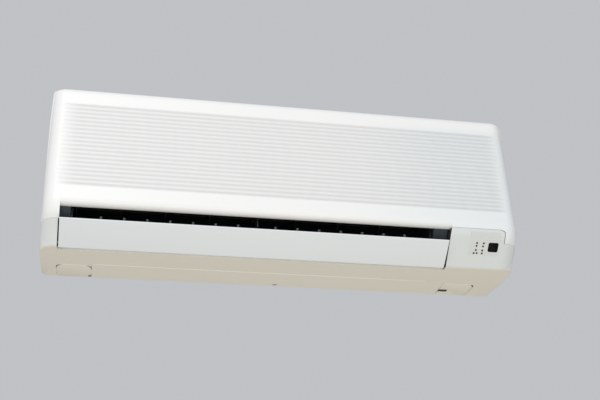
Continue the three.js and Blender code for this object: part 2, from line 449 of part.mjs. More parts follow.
// ================= outlet =================
const uF = [(FLAP_T[0] - FLAP_B[0]) / 53.87, (FLAP_T[1] - FLAP_B[1]) / 53.87], wF = [uF[1], -uF[0]];
const FP = (s, d) => [FLAP_B[0] + uF[0] * s + wF[0] * d, FLAP_B[1] + uF[1] * s + wF[1] * d];
// gently crowned plate with a rolled upper lip
const flapPts = [FP(0, 1.6), FP(0.6, 0.4), FP(2, 0), FP(14, -0.5), FP(27, -0.7), FP(40, -0.5), FP(51.5, 0), FP(53.4, 0.5), FP(53.87, 1.6),
  FP(53, 2.6), FP(50, 2.8), FP(40, 2.1), FP(27, 1.9), FP(14, 2.1), FP(3, 2.8), FP(0.8, 2.8)];
let flap = px(flapPts, ...FLAP_X);
const ear = [FP(2, 2), FP(16, 1.8), [FLAP_PIVOT[0] - 4.2, FLAP_PIVOT[1] + 4.4], ...arc(FLAP_PIVOT, 3.6, 90, -70, 5)];
for (const [a, b] of [[FLAP_X[0], FLAP_X[0] + 3], [FLAP_X[1] - 3, FLAP_X[1]]]) flap = uni(flap, px(ear, a, b), cylX(FLAP_PIVOT, 3.6, a, b, 12));
flap = uni(flap, cylX(FLAP_PIVOT, 2.2, -372.5, FLAP_X[0] + 1, 12), cylX(FLAP_PIVOT, 2.2, FLAP_X[1] - 1, 284, 12));
add('air_flap', flap, 0xdadcdb, 0.45);
// pinion pair driving the flap
const MOT_C = [-119.5, 24.13];
function gear(c, n, rRoot, rTip, x0, x1, phase, bore) {
  let g = cylX(c, rRoot, x0, x1, 12);
  for (let i = 0; i < n; i++) {
    const a = rad(phase + 360 / n * i), q = (r, t) => [c[0] + r * Math.cos(a + t), c[1] + r * Math.sin(a + t)];
    g = uni(g, px([q(rRoot - 0.5, -0.26), q(rTip, -0.07), q(rTip, 0.07), q(rRoot - 0.5, 0.26)], x0, x1));
  }
  return cut(g, cylX(c, bore, x0 - 1, x1 + 1, 8));
}
const lineA = Math.atan2(MOT_C[1] - FLAP_PIVOT[1], MOT_C[0] - FLAP_PIVOT[0]) * 180 / Math.PI;
add('flap_gear', gear(FLAP_PIVOT, 8, 3.3, 5.0, 279.4, 282.6, lineA, 2.5), GREY, 0.5);
add('flap_drive_gear', gear(MOT_C, 8, 3.3, 5.0, 279.4, 282.6, lineA + 180 + 22.5, 1.8), GREY, 0.5);
add('flap_motor', uni(cylX(MOT_C, 11.6, 285, 300, 20), cylX(MOT_C, 1.5, 279.6, 286, 10),
  px([[MOT_C[0] + 2, MOT_C[1] + 8], [MOT_C[0] + 20, MOT_C[1] + 8], [MOT_C[0] + 20, MOT_C[1] + 14], [MOT_C[0] - 2, MOT_C[1] + 14]], 285, 287)), STEEL, 0.4, 1);

// vertical vanes: s runs outwards along the lower duct wall, h away from it
const CRANK = -10;
VANE_X.forEach((x, i) => {
  let v = px([VP(-16, 2), VP(11, 2), VP(18.5, 41), VP(17.3, 48), VP(13, 48), VP(-15, 10)], x - 0.7, x + 0.7);
  v = cut(v, px([VP(-20, 3.6), VP(-4.5, 3.6), VP(-4.5, 8.4), VP(-20, 8.4)], x - 3, x + 3));
  v = uni(v, rodH(x, CRANK, 1.1, 3, 9, 4), rodH(x, 0, 1.7, -5, 3, 6));
  const side = i < 7 ? 'left' : 'right', k = i < 7 ? i + 1 : i - 6;
  if (k === 4) v = uni(v, px([VP(8, 22), VP(16, 22), VP(17, 33), VP(9, 33)], x - 2, x + 2));
  add(`vane_${side}_${k}`, v, 0x1a1d20, 0.6);
});
for (const [side, a, b] of [['left', 0, 6], ['right', 7, 13]]) {
  let bar = px([VP(CRANK - 3, 5.1), VP(CRANK + 3, 5.1), VP(CRANK + 3, 6.9), VP(CRANK - 3, 6.9)], VANE_X[a] - 5, VANE_X[b] + 5);
  for (let i = a; i <= b; i++) bar = cut(bar, rodH(VANE_X[i], CRANK, 1.6, 4, 8, 6));
  add(`vane_link_${side}`, bar, 0x2b2f33, 0.5);
}

// blocks that close the outlet at both ends, and the stay between the vane groups
function block(x0, x1, name) {
  const m = px([[-158, 74.8], [-153, 66], [-142, 50], [-128, 31], [-119, 23.2], [-119, 36], [-133, 60], [-139.4, 74.8]], x0, x1);
  add(name, m, BLUEGREY, 0.55);
}
block(-368.2, -351, 'outlet_block_left');
block(252, 274.2, 'outlet_block_right');
let stay = px([[-144, 75.8], [-150, 75.8], [-153.4, 52], [-150, 47.5], [-121, 20.6], [-112, 24.2], [-104, 29.2], [-122, 48], [-134, 75.8]], -50.9, -49.5);
add('outlet_stay', stay, 0x24282c, 0.6);

// ================= filters =================
const fPath = (o) => [[faceY(99, o), 99], [faceY(246, o), 246], [faceY(252, o + 3), 252.6], [-113, 264.5], [-96, 272], [-42, 275.5]];
for (const [name, x0, x1] of [['filter_left', -339, -47], ['filter_right', -43, 249]]) {
  let f = px(strip(fPath(12.6), 1.8), x0, x1);
  for (let i = 0; i < 3; i++) {
    const a = x0 + 7 + i * 94, b = a + 88;
    f = cut(f, px([[-175, 106], [-175, 172], [-120, 172], [-120, 106]], a, b), px([[-175, 177], [-175, 243], [-120, 243], [-120, 177]], a, b),
      box(a, b, -111, -48, 240, 290));
  }
  f = uni(f, px([[faceY(100, 13), 100], [faceY(100, 9.6), 100], [faceY(102, 9.6), 102], [faceY(102, 13), 102]], (x0 + x1) / 2 - 16, (x0 + x1) / 2 + 16));
  add(name, f, 0x2a2d30, 0.7);
}

// ================= electrics =================
let ebox = cut(box(326, 378, -117, -40, 118, 262), box(328, 380, -115, -42, 120, 260));
ebox = uni(ebox, box(327, 331, -112, -108, 122, 126), box(327, 331, -50, -46, 252, 256));
add('electric_box', ebox, 0xb9bdbf, 0.5);
add('electric_box_cover', uni(box(378.4, 380, -118, -39, 117, 263), box(375, 379, -113, -109, 128, 134)), STEEL, 0.45, 1);
let pcb = uni(box(331.4, 333, -107, -51, 128, 250), box(332.5, 346, -104, -84, 216, 244), cylX([-70, 232], 8, 332.5, 358, 14), box(332.5, 350, -100, -76, 184, 206),
  box(332.5, 340, -68, -56, 180, 212), box(332.5, 343, -104, -58, 134, 146), cylX([-92, 166], 5, 332.5, 352, 10), cylX([-76, 166], 5, 332.5, 352, 10));
add('control_board', pcb, 0x2f6b46, 0.5);
let term = cut(box(330, 372, -110, -88, 88, 112), ...[0, 1, 2, 3].map((i) => box(333 + i * 10, 339 + i * 10, -112, -99, 90, 110)));
for (let i = 0; i < 4; i++) term = uni(term, cylY(336 + i * 10, 100, 2.4, -102, -98, 8));
add('terminal_block', term, 0xcfd2d2, 0.5);
add('emergency_button', uni(cylY(330, 150, 3.6, faceY(150, 8.5) - 2.4, faceY(150, 8.5) + 4, 14), cylY(330, 150, 5.4, faceY(150, 8.5) + 4, faceY(150, 8.5) + 5.4, 14)), WHITE, 0.5);
add('button_switch', uni(box(318, 342, -140, -138.4, 140, 160), cylY(330, 150, 3, -142.6, -139, 10)), BLACK, 0.5);
add('room_sensor', uni(cylY(300, 200, 2.6, -138.8, -126, 10), box(295, 305, -126.5, -124.5, 192, 208)), 0xd8c8a0, 0.5);

// ================= display =================
add('receiver_window', uni(chinBox(347, 364.6, 2.1, 18.7, 0.05, 2.6), chinBox(345.5, 366, 3.2, 20, 2.9, 4)
  .add(chinBox(350, 361, 5, 16, 2, 3.4))), BLACK, 0.15);
const DOTS = [[326, 4], [325.8, 9.1], [325.9, 16.6], [322.9, 22.3], [328.2, 22], [338, 3.8], [337.5, 9.3], [337.4, 16.9], [337.4, 22]];
let guide = chinBox(319, 341.5, 3, 25, 3.1, 4.4);
for (const [x, q] of DOTS) guide = uni(guide, chinRod(x, q, 0.75, 0.05, 3.4, 6));
add('indicator_light_guide', guide, 0x3a3f42, 0.3);
add('display_board', uni(chinBox(300, 368, 4.5, 34, 8.2, 9.8), chinBox(350, 361, 6, 15, 5, 8.5), chinBox(304, 314, 6, 30, 5, 8.5)), 0x2f6b46, 0.5);

export default root;
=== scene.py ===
# Visual model of the wall-mounted mini split indoor unit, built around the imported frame.
import bpy, bmesh, math
from mathutils import Matrix, Vector, noise


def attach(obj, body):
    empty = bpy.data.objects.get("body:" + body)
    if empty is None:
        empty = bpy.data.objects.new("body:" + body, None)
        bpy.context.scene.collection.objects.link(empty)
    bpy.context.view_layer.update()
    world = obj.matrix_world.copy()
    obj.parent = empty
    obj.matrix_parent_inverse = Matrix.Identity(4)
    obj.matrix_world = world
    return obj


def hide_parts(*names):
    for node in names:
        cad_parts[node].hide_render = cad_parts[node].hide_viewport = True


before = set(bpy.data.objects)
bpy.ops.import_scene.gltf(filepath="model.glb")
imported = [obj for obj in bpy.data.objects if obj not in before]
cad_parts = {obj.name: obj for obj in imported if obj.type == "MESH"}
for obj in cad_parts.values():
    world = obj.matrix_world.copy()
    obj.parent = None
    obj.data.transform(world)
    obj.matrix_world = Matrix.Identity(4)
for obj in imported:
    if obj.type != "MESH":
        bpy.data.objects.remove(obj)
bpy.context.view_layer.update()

MM = 0.001
Z_REF = 150.0      # all drawing below is in mm with z from the unit's bottom back edge

# ------------------------------------------------------------------ camera
scene = bpy.context.scene
cam_data = bpy.data.cameras.new("photo_camera")
cam_data.sensor_width = 36.0
cam_data.lens = 1025.4 * 36.0 / 600.0
cam_data.clip_start = 0.05
cam_data.clip_end = 30.0
cam = bpy.data.objects.new("photo_camera", cam_data)
scene.collection.objects.link(cam)
RX = Vector((0.9812, -0.1926, -0.0099)).normalized()
RD = Vector((0.0635, 0.3712, -0.9264)).normalized()
RF = RX.cross(RD).normalized()
RD = RF.cross(RX).normalized()
M = Matrix.Identity(4)
for r in range(3):
    M[r][0] = RX[r]; M[r][1] = -RD[r]; M[r][2] = -RF[r]
M[0][3] = -290.9 * MM; M[1][3] = -1708.6 * MM; M[2][3] = (-540.2 - Z_REF) * MM
cam.matrix_world = M
scene.camera = cam

# ------------------------------------------------------------------ shared sizes (mm)
LEAN = math.radians(8.75)
FACE_Y0, FACE_K = -181.73, math.tan(LEAN)
R_TOP, TOP_C = 16.0, (-123.4, 274.0)
R_PLAN, W_PANEL, W_FRAME, T = 25.0, 790.0, 793.0, 2.5
XF = W_FRAME / 2
RIBS, RIB_Z0, RIB_Z1 = 20, 103.5, 254.2
PART = (-160.1, 47.7)
CHIN = (-127.7, 7.8)
SLOT_X = (-367.4, 274.2)
NOTCH_X, NOTCH_Z = 370.0, 66.8
FLAP_X = (-366.6, 271.3)
FLAP_B, FLAP_T = (-127.1, 6.7), (-166.9, 43.0)
PIVOT = (-124.5, 17.0)
FAN_C, FAN_R = (-78.0, 120.0), 42.0
HINGE = (-123.0, 286.5)
R_JAW = 38.0
ANG_F = 180 - 8.75


def face_y(z, off=0.0):
    return FACE_Y0 + FACE_K * z + off / math.cos(LEAN)


def arc(c, r, a0, a1, n):
    return [(c[0] + r * math.cos(math.radians(a0 + (a1 - a0) * i / n)),
             c[1] + r * math.sin(math.radians(a0 + (a1 - a0) * i / n))) for i in range(n + 1)]


JAW_C = (face_y(79.2) + R_JAW * math.cos(LEAN), 79.2 - R_JAW * math.sin(LEAN))
_l = math.hypot(CHIN[0] - PART[0], CHIN[1] - PART[1])
CD = ((CHIN[0] - PART[0]) / _l, (CHIN[1] - PART[1]) / _l)   # down the chin
CN = (CD[1], -CD[0])                                        # out of the chin
SEAM = (PART[0] + CD[0] * 3.1, PART[1] + CD[1] * 3.1)       # where the panel's ends stop
SZ = SEAM[1]


def jaw(off, n=18):
    return arc(JAW_C, R_JAW - off, ANG_F, ANG_F + 47.9, n)


def chin_in(p, off):
    return (p[0] - CN[0] * off, p[1] - CN[1] * off)


def under_z(y):
    return -y * CHIN[1] / -CHIN[0]


# ------------------------------------------------------------------ mesh helpers
def area2(p):
    return sum(p[i][0] * p[(i + 1) % len(p)][1] - p[(i + 1) % len(p)][0] * p[i][1] for i in range(len(p)))


def stretch_x(x):
    """The shell is drawn with equal ends; this stretches it toward the display end (mm)."""
    d = 0.0
    if 262 < x < 312:
        d += 2.5 * min(1.0, (x - 262) / 6, (312 - x) / 22)
    if x > 366:
        d += 6.5 * min(1.0, (x - 366) / 5)
    return x + d


def unstretch_x(x):
    lo, hi = x - 12.0, x
    for _ in range(40):
        m = (lo + hi) / 2
        if stretch_x(m) < x:
            lo = m
        else:
            hi = m
    return (lo + hi) / 2


def to_object(bm, name):
    bmesh.ops.recalc_face_normals(bm, faces=bm.faces[:])
    me = bpy.data.meshes.new(name)
    bm.to_mesh(me)
    bm.free()
    o = bpy.data.objects.new(name, me)
    scene.collection.objects.link(o)
    return o


def loft(rings, name="tmp", cap=True):
    """Closed solid through rings of equal length; each ring is a list of (x, y, z) in mm."""
    bm = bmesh.new()
    vs = [[bm.verts.new((stretch_x(p[0]) * MM, p[1] * MM, (p[2] - Z_REF) * MM)) for p in r] for r in rings]
    n = len(rings[0])
    for a, b in zip(vs, vs[1:]):
        for i in range(n):
            j = (i + 1) % n
            bm.faces.new((a[i], a[j], b[j], b[i]))
    if cap:
        bm.faces.new(vs[0][::-1])
        bm.faces.new(vs[-1])
    return to_object(bm, name)


def px(pts, x0, x1, name="tmp"):
    return loft([[(x0, y, z) for y, z in pts], [(x1, y, z) for y, z in pts]], name)


def pz(pts, z0, z1, name="tmp"):
    return loft([[(x, y, z0) for x, y in pts], [(x, y, z1) for x, y in pts]], name)


def py(pts, y0, y1, name="tmp"):
    return loft([[(x, y0, z) for x, z in pts], [(x, y1, z) for x, z in pts]], name)


def box(x0, x1, y0, y1, z0, z1, name="tmp"):
    return px([(y0, z0), (y1, z0), (y1, z1), (y0, z1)], x0, x1, name)


def circ(c, r, n=48, a0=0.0):
    return [(c[0] + r * math.cos(a0 + 2 * math.pi * i / n), c[1] + r * math.sin(a0 + 2 * math.pi * i / n)) for i in range(n)]


def cyl_x(c, r, x0, x1, n=48, name="tmp"):
    return px(circ(c, r, n), x0, x1, name)


def cyl_y(x, z, r, y0, y1, n=40, name="tmp"):
    return py(circ((x, z), r, n), y0, y1, name)


def cyl_z(x, y, r, z0, z1, n=40, name="tmp"):
    return pz(circ((x, y), r, n), z0, z1, name)


def lathe_x(c, prof, n=64, name="tmp"):
    """Turned solid about an X axis through c; prof is a list of (x, r) from one end to the other."""
    bm = bmesh.new()
    rings = []
    for x, r in prof:
        if r < 1e-6:
            rings.append([bm.verts.new((stretch_x(x) * MM, c[0] * MM, (c[1] - Z_REF) * MM))])
        else:
            rings.append([bm.verts.new((stretch_x(x) * MM, (c[0] + r * math.cos(2 * math.pi * i / n)) * MM,
                                        (c[1] - Z_REF + r * math.sin(2 * math.pi * i / n)) * MM)) for i in range(n)])
    for a, b in zip(rings, rings[1:]):
        for i in range(n):
            j = (i + 1) % n
            if len(a) == 1 and len(b) == 1:
                continue
            if len(a) == 1:
                bm.faces.new((a[0], b[j], b[i]))
            elif len(b) == 1:
                bm.faces.new((a[i], a[j], b[0]))
            else:
                bm.faces.new((a[i], a[j], b[j], b[i]))
    if len(rings[0]) > 1:
        bm.faces.new(rings[0][::-1])
    if len(rings[-1]) > 1:
        bm.faces.new(rings[-1])
    return to_object(bm, name)


def apply_mods(o):
    dg = bpy.context.evaluated_depsgraph_get()
    dg.update()
    me = bpy.data.meshes.new_from_object(o.evaluated_get(dg), depsgraph=dg)
    o.modifiers.clear()
    old = o.data
    o.data = me
    bpy.data.meshes.remove(old)
    return o


def boolean(a, op, others, solver="MANIFOLD"):
    """a = a op (all of others); the others are used up."""
    others = [b for b in (others if isinstance(others, (list, tuple)) else [others])]
    if not others:
        return a
    if op == "UNION" or len(others) == 1:
        for b in others:
            m = a.modifiers.new("b", "BOOLEAN")
            m.object = b; m.operation = op; m.solver = solver
        apply_mods(a)
    else:
        for b in others:
            m = a.modifiers.new("b", "BOOLEAN")
            m.object = b; m.operation = op; m.solver = solver
        apply_mods(a)
    for b in others:
        me = b.data
        bpy.data.objects.remove(b)
        bpy.data.meshes.remove(me)
    return a


def cut(a, *others):
    return boolean(a, "DIFFERENCE", list(others))


def uni(a, *others):
    return boolean(a, "UNION", list(others))


def sect(a, *others):
    for b in others:
        boolean(a, "INTERSECT", [b])
    return a


def tidy(o, dist=0.00001, angle=0.6):
    """Merges stray points and flattens the coplanar triangles a boolean leaves."""
    bm = bmesh.new()
    bm.from_mesh(o.data)
    bmesh.ops.remove_doubles(bm, verts=bm.verts[:], dist=dist)
    bmesh.ops.dissolve_degenerate(bm, dist=dist, edges=bm.edges[:])
    bmesh.ops.dissolve_limit(bm, angle_limit=math.radians(angle), verts=bm.verts[:], edges=bm.edges[:])
    bmesh.ops.recalc_face_normals(bm, faces=bm.faces[:])
    bm.to_mesh(o.data)
    bm.free()
    return o


def smooth(o, angle=32.0):
    me = o.data
    for p in me.polygons:
        p.use_smooth = True
    bm = bmesh.new()
    bm.from_mesh(me)
    a = math.radians(angle)
    for e in bm.edges:
        if len(e.link_faces) == 2:
            e.smooth = e.calc_face_angle(0.0) < a
        else:
            e.smooth = False
    bm.to_mesh(me)
    bm.free()
    return o


def bevel(o, width=0.4, seg=2, angle=35.0, clamp=False):
    m = o.modifiers.new("edge", "BEVEL")
    m.width = width * MM
    m.segments = seg
    m.limit_method = "ANGLE"
    m.angle_limit = math.radians(angle)
    m.use_clamp_overlap = clamp
    m.harden_normals = False
    m.miter_outer = "MITER_ARC"
    apply_mods(o)
    return o


def finish_piece(o, name, material, body="root", node=(), ang=32.0):
    o.name = name
    o.data.name = name
    smooth(o, ang)
    o.data.materials.clear()
    o.data.materials.append(material)
    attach(o, body)
    if node:
        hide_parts(*([node] if isinstance(node, str) else node))
    return o


# ------------------------------------------------------------------ materials
def links(nt, *pairs):
    for a, b in pairs:
        nt.links.new(a, b)


def mat(name, base, rough=0.45, metal=0.0, var=0.015, tint=None, grain=0.15, grain_mm=0.5, blotch_mm=120.0,
        rough_var=0.06, spec=0.5, coat=0.0, edge=0.0, sss=0.0, stretch=(1, 1, 1)):
    """Moulded or drawn surface: broad colour drift, fine grain in bump and roughness, lighter edges that are part wear
    and part painted highlight.
    """
    m = bpy.data.materials.new(name)
    m.use_nodes = True
    nt = m.node_tree
    b = nt.nodes["Principled BSDF"]
    b.inputs["Roughness"].default_value = rough
    b.inputs["Metallic"].default_value = metal
    b.inputs["Specular IOR Level"].default_value = spec
    b.inputs["Coat Weight"].default_value = coat
    b.inputs["Base Color"].default_value = (*base, 1)
    co = nt.nodes.new("ShaderNodeTexCoord")
    mp = nt.nodes.new("ShaderNodeMapping")
    mp.inputs["Scale"].default_value = stretch
    links(nt, (co.outputs["Object"], mp.inputs["Vector"]))
    n1 = nt.nodes.new("ShaderNodeTexNoise")
    n1.inputs["Scale"].default_value = 1000.0 / blotch_mm
    n1.inputs["Detail"].default_value = 3.0
    n2 = nt.nodes.new("ShaderNodeTexNoise")
    n2.inputs["Scale"].default_value = 1000.0 / grain_mm
    n2.inputs["Detail"].default_value = 2.0
    links(nt, (mp.outputs["Vector"], n1.inputs["Vector"]), (mp.outputs["Vector"], n2.inputs["Vector"]))
    t = tint or base
    ramp = nt.nodes.new("ShaderNodeMix")
    ramp.data_type = "RGBA"
    ramp.inputs[6].default_value = (*[c * (1 - var) for c in base], 1)
    ramp.inputs[7].default_value = (*[min(1, c * (1 + var)) for c in t], 1)
    links(nt, (n1.outputs["Fac"], ramp.inputs[0]))
    col = ramp.outputs[2]
    fine = nt.nodes.new("ShaderNodeMix")
    fine.data_type = "RGBA"
    fine.blend_type = "MULTIPLY"
    fine.inputs[0].default_value = 1.0
    g = nt.nodes.new("ShaderNodeMapRange")
    g.inputs["To Min"].default_value = 1 - var
    g.inputs["To Max"].default_value = 1 + var * 0.4
    links(nt, (n2.outputs["Fac"], g.inputs["Value"]), (g.outputs["Result"], fine.inputs[7]), (col, fine.inputs[6]))
    col = fine.outputs[2]
    # painted highlight: edges are lightened in the colour, partly as wear and partly as light catching them
    if edge:
        bv = nt.nodes.new("ShaderNodeBevel")
        bv.samples = 4
        bv.inputs["Radius"].default_value = 0.0009
        geo = nt.nodes.new("ShaderNodeNewGeometry")
        dot = nt.nodes.new("ShaderNodeVectorMath")
        dot.operation = "DOT_PRODUCT"
        er = nt.nodes.new("ShaderNodeMapRange")
        er.inputs["From Min"].default_value = 0.995
        er.inputs["From Max"].default_value = 0.86
        er.inputs["To Min"].default_value = 0.0
        er.inputs["To Max"].default_value = abs(edge)
        em = nt.nodes.new("ShaderNodeMix")
        em.data_type = "RGBA"
        em.inputs[7].default_value = (*[min(1, c * 1.25 + 0.03) if edge > 0 else c * 0.6 for c in base], 1)
        links(nt, (bv.outputs["Normal"], dot.inputs[0]), (geo.outputs["Normal"], dot.inputs[1]),
              (dot.outputs["Value"], er.inputs["Value"]), (er.outputs["Result"], em.inputs[0]), (col, em.inputs[6]))
        col = em.outputs[2]
    links(nt, (col, b.inputs["Base Color"]))
    rr_ = nt.nodes.new("ShaderNodeMapRange")
    rr_.inputs["To Min"].default_value = max(0.02, rough - rough_var)
    rr_.inputs["To Max"].default_value = min(1.0, rough + rough_var)
    links(nt, (n1.outputs["Fac"], rr_.inputs["Value"]), (rr_.outputs["Result"], b.inputs["Roughness"]))
    if grain:
        bp = nt.nodes.new("ShaderNodeBump")
        bp.inputs["Strength"].default_value = grain
        bp.inputs["Distance"].default_value = 0.00005
        links(nt, (n2.outputs["Fac"], bp.inputs["Height"]), (bp.outputs["Normal"], b.inputs["Normal"]))
    if sss:
        b.inputs["Subsurface Weight"].default_value = sss
        b.inputs["Subsurface Radius"].default_value = (1.0, 0.9, 0.8)
        b.inputs["Subsurface Scale"].default_value = 0.002
    return m


def galvanised(name, base=(0.62, 0.64, 0.66), cell_mm=9.0, rough=0.38):
    """Zinc spangle: cells of slightly different grey and gloss, with fine rolling lines."""
    m = mat(name, base, rough, 1.0, 0.05, grain=0.25, grain_mm=1.2, blotch_mm=60)
    nt = m.node_tree
    b = nt.nodes["Principled BSDF"]
    co = nt.nodes["Texture Coordinate"]
    v = nt.nodes.new("ShaderNodeTexVoronoi")
    v.inputs["Scale"].default_value = 1000.0 / cell_mm
    nz = nt.nodes.new("ShaderNodeTexNoise")
    nz.inputs["Scale"].default_value = 90.0
    mx = nt.nodes.new("ShaderNodeMix")
    mx.data_type = "VECTOR"
    mx.inputs[0].default_value = 0.012
    links(nt, (co.outputs["Object"], nz.inputs["Vector"]), (co.outputs["Object"], mx.inputs[4]),
          (nz.outputs["Color"], mx.inputs[5]), (mx.outputs[1], v.inputs["Vector"]))
    sep = nt.nodes.new("ShaderNodeSeparateColor")
    links(nt, (v.outputs["Color"], sep.inputs[0]))
    mr = nt.nodes.new("ShaderNodeMapRange")
    mr.inputs["To Min"].default_value = 0.82
    mr.inputs["To Max"].default_value = 1.08
    mul = nt.nodes.new("ShaderNodeMix")
    mul.data_type = "RGBA"
    mul.blend_type = "MULTIPLY"
    mul.inputs[0].default_value = 1.0
    old = b.inputs["Base Color"].links[0].from_socket
    links(nt, (sep.outputs[0], mr.inputs["Value"]), (mr.outputs["Result"], mul.inputs[7]), (old, mul.inputs[6]),
          (mul.outputs[2], b.inputs["Base Color"]))
    r2 = nt.nodes.new("ShaderNodeMapRange")
    r2.inputs["To Min"].default_value = rough - 0.1
    r2.inputs["To Max"].default_value = rough + 0.14
    links(nt, (sep.outputs[1], r2.inputs["Value"]), (r2.outputs["Result"], b.inputs["Roughness"]))
    return m


def board(name, base=(0.02, 0.16, 0.07)):
    """Coated circuit board: copper tracks showing through the lacquer as slightly lighter lines."""
    m = mat(name, base, 0.32, 0.0, 0.06, grain=0.1, grain_mm=0.8, blotch_mm=30)
    nt = m.node_tree
    b = nt.nodes["Principled BSDF"]
    co = nt.nodes["Texture Coordinate"]
    v = nt.nodes.new("ShaderNodeTexVoronoi")
    v.distance = "MANHATTAN"
    v.feature = "F2"
    v.inputs["Scale"].default_value = 210.0
    th = nt.nodes.new("ShaderNodeMapRange")
    th.inputs["From Min"].default_value = 0.62
    th.inputs["From Max"].default_value = 0.66
    mx = nt.nodes.new("ShaderNodeMix")
    mx.data_type = "RGBA"
    mx.inputs[7].default_value = (0.06, 0.30, 0.13, 1)
    old = b.inputs["Base Color"].links[0].from_socket
    links(nt, (co.outputs["Object"], v.inputs["Vector"]), (v.outputs["Distance"], th.inputs["Value"]),
          (th.outputs["Result"], mx.inputs[0]), (old, mx.inputs[6]), (mx.outputs[2], b.inputs["Base Color"]))
    return m


def coords(nt):
    """Object coordinates in mm as three sockets, z from the unit's bottom back edge."""
    co = nt.nodes.new("ShaderNodeTexCoord")
    sc = nt.nodes.new("ShaderNodeVectorMath")
    sc.operation = "MULTIPLY_ADD"
    sc.inputs[1].default_value = (1000, 1000, 1000)
    sc.inputs[2].default_value = (0, 0, Z_REF)
    sp = nt.nodes.new("ShaderNodeSeparateXYZ")
    links(nt, (co.outputs["Object"], sc.inputs[0]), (sc.outputs[0], sp.inputs[0]))
    return sp.outputs[0], sp.outputs[1], sp.outputs[2]


def step(nt, sock, a, b, lo=0.0, hi=1.0):
    m = nt.nodes.new("ShaderNodeMapRange")
    m.interpolation_type = "SMOOTHSTEP"
    if a > b:
        a, b, lo, hi = b, a, hi, lo
    m.inputs["From Min"].default_value = a
    m.inputs["From Max"].default_value = b
    m.inputs["To Min"].default_value = lo
    m.inputs["To Max"].default_value = hi
    links(nt, (sock, m.inputs["Value"]))
    return m.outputs["Result"]


def calc(nt, op, *args):
    m = nt.nodes.new("ShaderNodeMath")
    m.operation = op
    for i, a in enumerate(args):
        if isinstance(a, (int, float)):
            m.inputs[i].default_value = a
        else:
            links(nt, (a, m.inputs[i]))
    return m.outputs[0]


def times(nt, *socks):
    r = socks[0]
    for q in socks[1:]:
        r = calc(nt, "MULTIPLY", r, q)
    return r


def tone(m, mask, colour, blend="MIX"):
    """Mixes a colour over a material's base colour where the mask is 1."""
    nt = m.node_tree
    b = nt.nodes["Principled BSDF"]
    mx = nt.nodes.new("ShaderNodeMix")
    mx.data_type = "RGBA"
    mx.blend_type = blend
    old = b.inputs["Base Color"].links[0].from_socket
    mx.inputs[7].default_value = (*colour, 1)
    links(nt, (mask, mx.inputs[0]), (old, mx.inputs[6]), (mx.outputs[2], b.inputs["Base Color"]))
    return m


M_PANEL = mat("panel_white", (0.865, 0.868, 0.862), 0.42, var=0.012, tint=(0.872, 0.868, 0.855), grain=0.22, grain_mm=0.45, edge=0.25)
M_FRAME = mat("frame_white", (0.775, 0.785, 0.785), 0.46, var=0.014, tint=(0.78, 0.785, 0.775), grain=0.28, grain_mm=0.45, edge=0.08)
M_CHASSIS = mat("chassis_white", (0.785, 0.765, 0.69), 0.5, var=0.018, tint=(0.775, 0.75, 0.67), grain=0.3, grain_mm=0.5)
M_FLAP = mat("flap_white", (0.742, 0.778, 0.805), 0.4, var=0.012, grain=0.18, grain_mm=0.4, edge=0.25)
M_DARK = mat("duct_dark", (0.020, 0.022, 0.024), 0.42, var=0.12, grain=0.3, grain_mm=0.6, edge=0.3)
M_BLOCK = mat("block_bluegrey", (0.030, 0.040, 0.050), 0.5, var=0.10, grain=0.35, grain_mm=0.5, edge=0.35)
M_ALU = mat("fin_aluminium", (0.72, 0.74, 0.76), 0.33, 1.0, 0.05, grain=0.2, grain_mm=0.8, blotch_mm=45)
M_COPPER = mat("copper", (0.70, 0.36, 0.22), 0.27, 1.0, 0.10, tint=(0.60, 0.27, 0.16), grain=0.25, grain_mm=1.5, blotch_mm=18, stretch=(0.25, 1, 1))
M_ZINC = galvanised("galvanised")
M_STEEL = mat("steel_bright", (0.60, 0.61, 0.62), 0.26, 1.0, 0.05, grain=0.3, grain_mm=0.35, blotch_mm=10, edge=0.3)
M_BRASS = mat("brass_nut", (0.74, 0.56, 0.26), 0.25, 1.0, 0.08, grain=0.3, grain_mm=0.4, blotch_mm=12, edge=0.5)
M_FOAM = mat("pan_plastic", (0.76, 0.77, 0.76), 0.62, var=0.03, grain=0.5, grain_mm=1.6)
M_RUBBER = mat("rubber_black", (0.018, 0.018, 0.019), 0.62, var=0.15, grain=0.5, grain_mm=0.7)
M_WINDOW = mat("window_black", (0.0042, 0.0042, 0.0048), 0.16, var=0.2, grain=0.02, grain_mm=0.8, spec=0.07)
M_LAMP = mat("lamp_grey", (0.014, 0.016, 0.018), 0.3, var=0.05, grain=0.05, grain_mm=0.4)
M_BOARD = board("board_green")
M_GREY = mat("box_grey", (0.60, 0.62, 0.63), 0.48, var=0.03, grain=0.4, grain_mm=0.5)
M_GEAR = mat("gear_plastic", (0.70, 0.70, 0.68), 0.35, var=0.03, grain=0.15, grain_mm=0.5, sss=0.1)
M_FILTER = mat("filter_black", (0.025, 0.028, 0.032), 0.5, var=0.1, grain=0.35, grain_mm=0.5, edge=0.3)
M_MESH = mat("filter_mesh", (0.045, 0.05, 0.06), 0.55, var=0.1, grain=0.3, grain_mm=0.3)
M_MOTOR = mat("motor_steel", (0.20, 0.215, 0.23), 0.36, 0.9, 0.06, grain=0.4, grain_mm=0.8, blotch_mm=20, edge=0.4)
M_FILM = mat("film_clear", (0.648, 0.672, 0.672), 0.26, var=0.01, grain=0.05, grain_mm=0.5, coat=0.1)
# the vane blades' strongly lightened edges are a painted highlight where their tips catch light
M_TICK = mat("vane_grey", (0.15, 0.158, 0.165), 0.45, var=0.08, grain=0.2, grain_mm=0.5, edge=0.5)
M_COVER = mat("cover_white", (0.785, 0.76, 0.68), 0.5, var=0.015, tint=(0.785, 0.755, 0.66), grain=0.28, grain_mm=0.5)
# the beads' lighter white is a painted highlight along the joints
M_BEAD_HIGHLIGHT = mat("bead_painted_highlight", (0.88, 0.87, 0.82), 0.5, var=0.01, grain=0.2, grain_mm=0.5)
M_SEAM = mat("seam_shadow", (0.016, 0.014, 0.011), 0.8, var=0.05, grain=0.2, grain_mm=0.5)


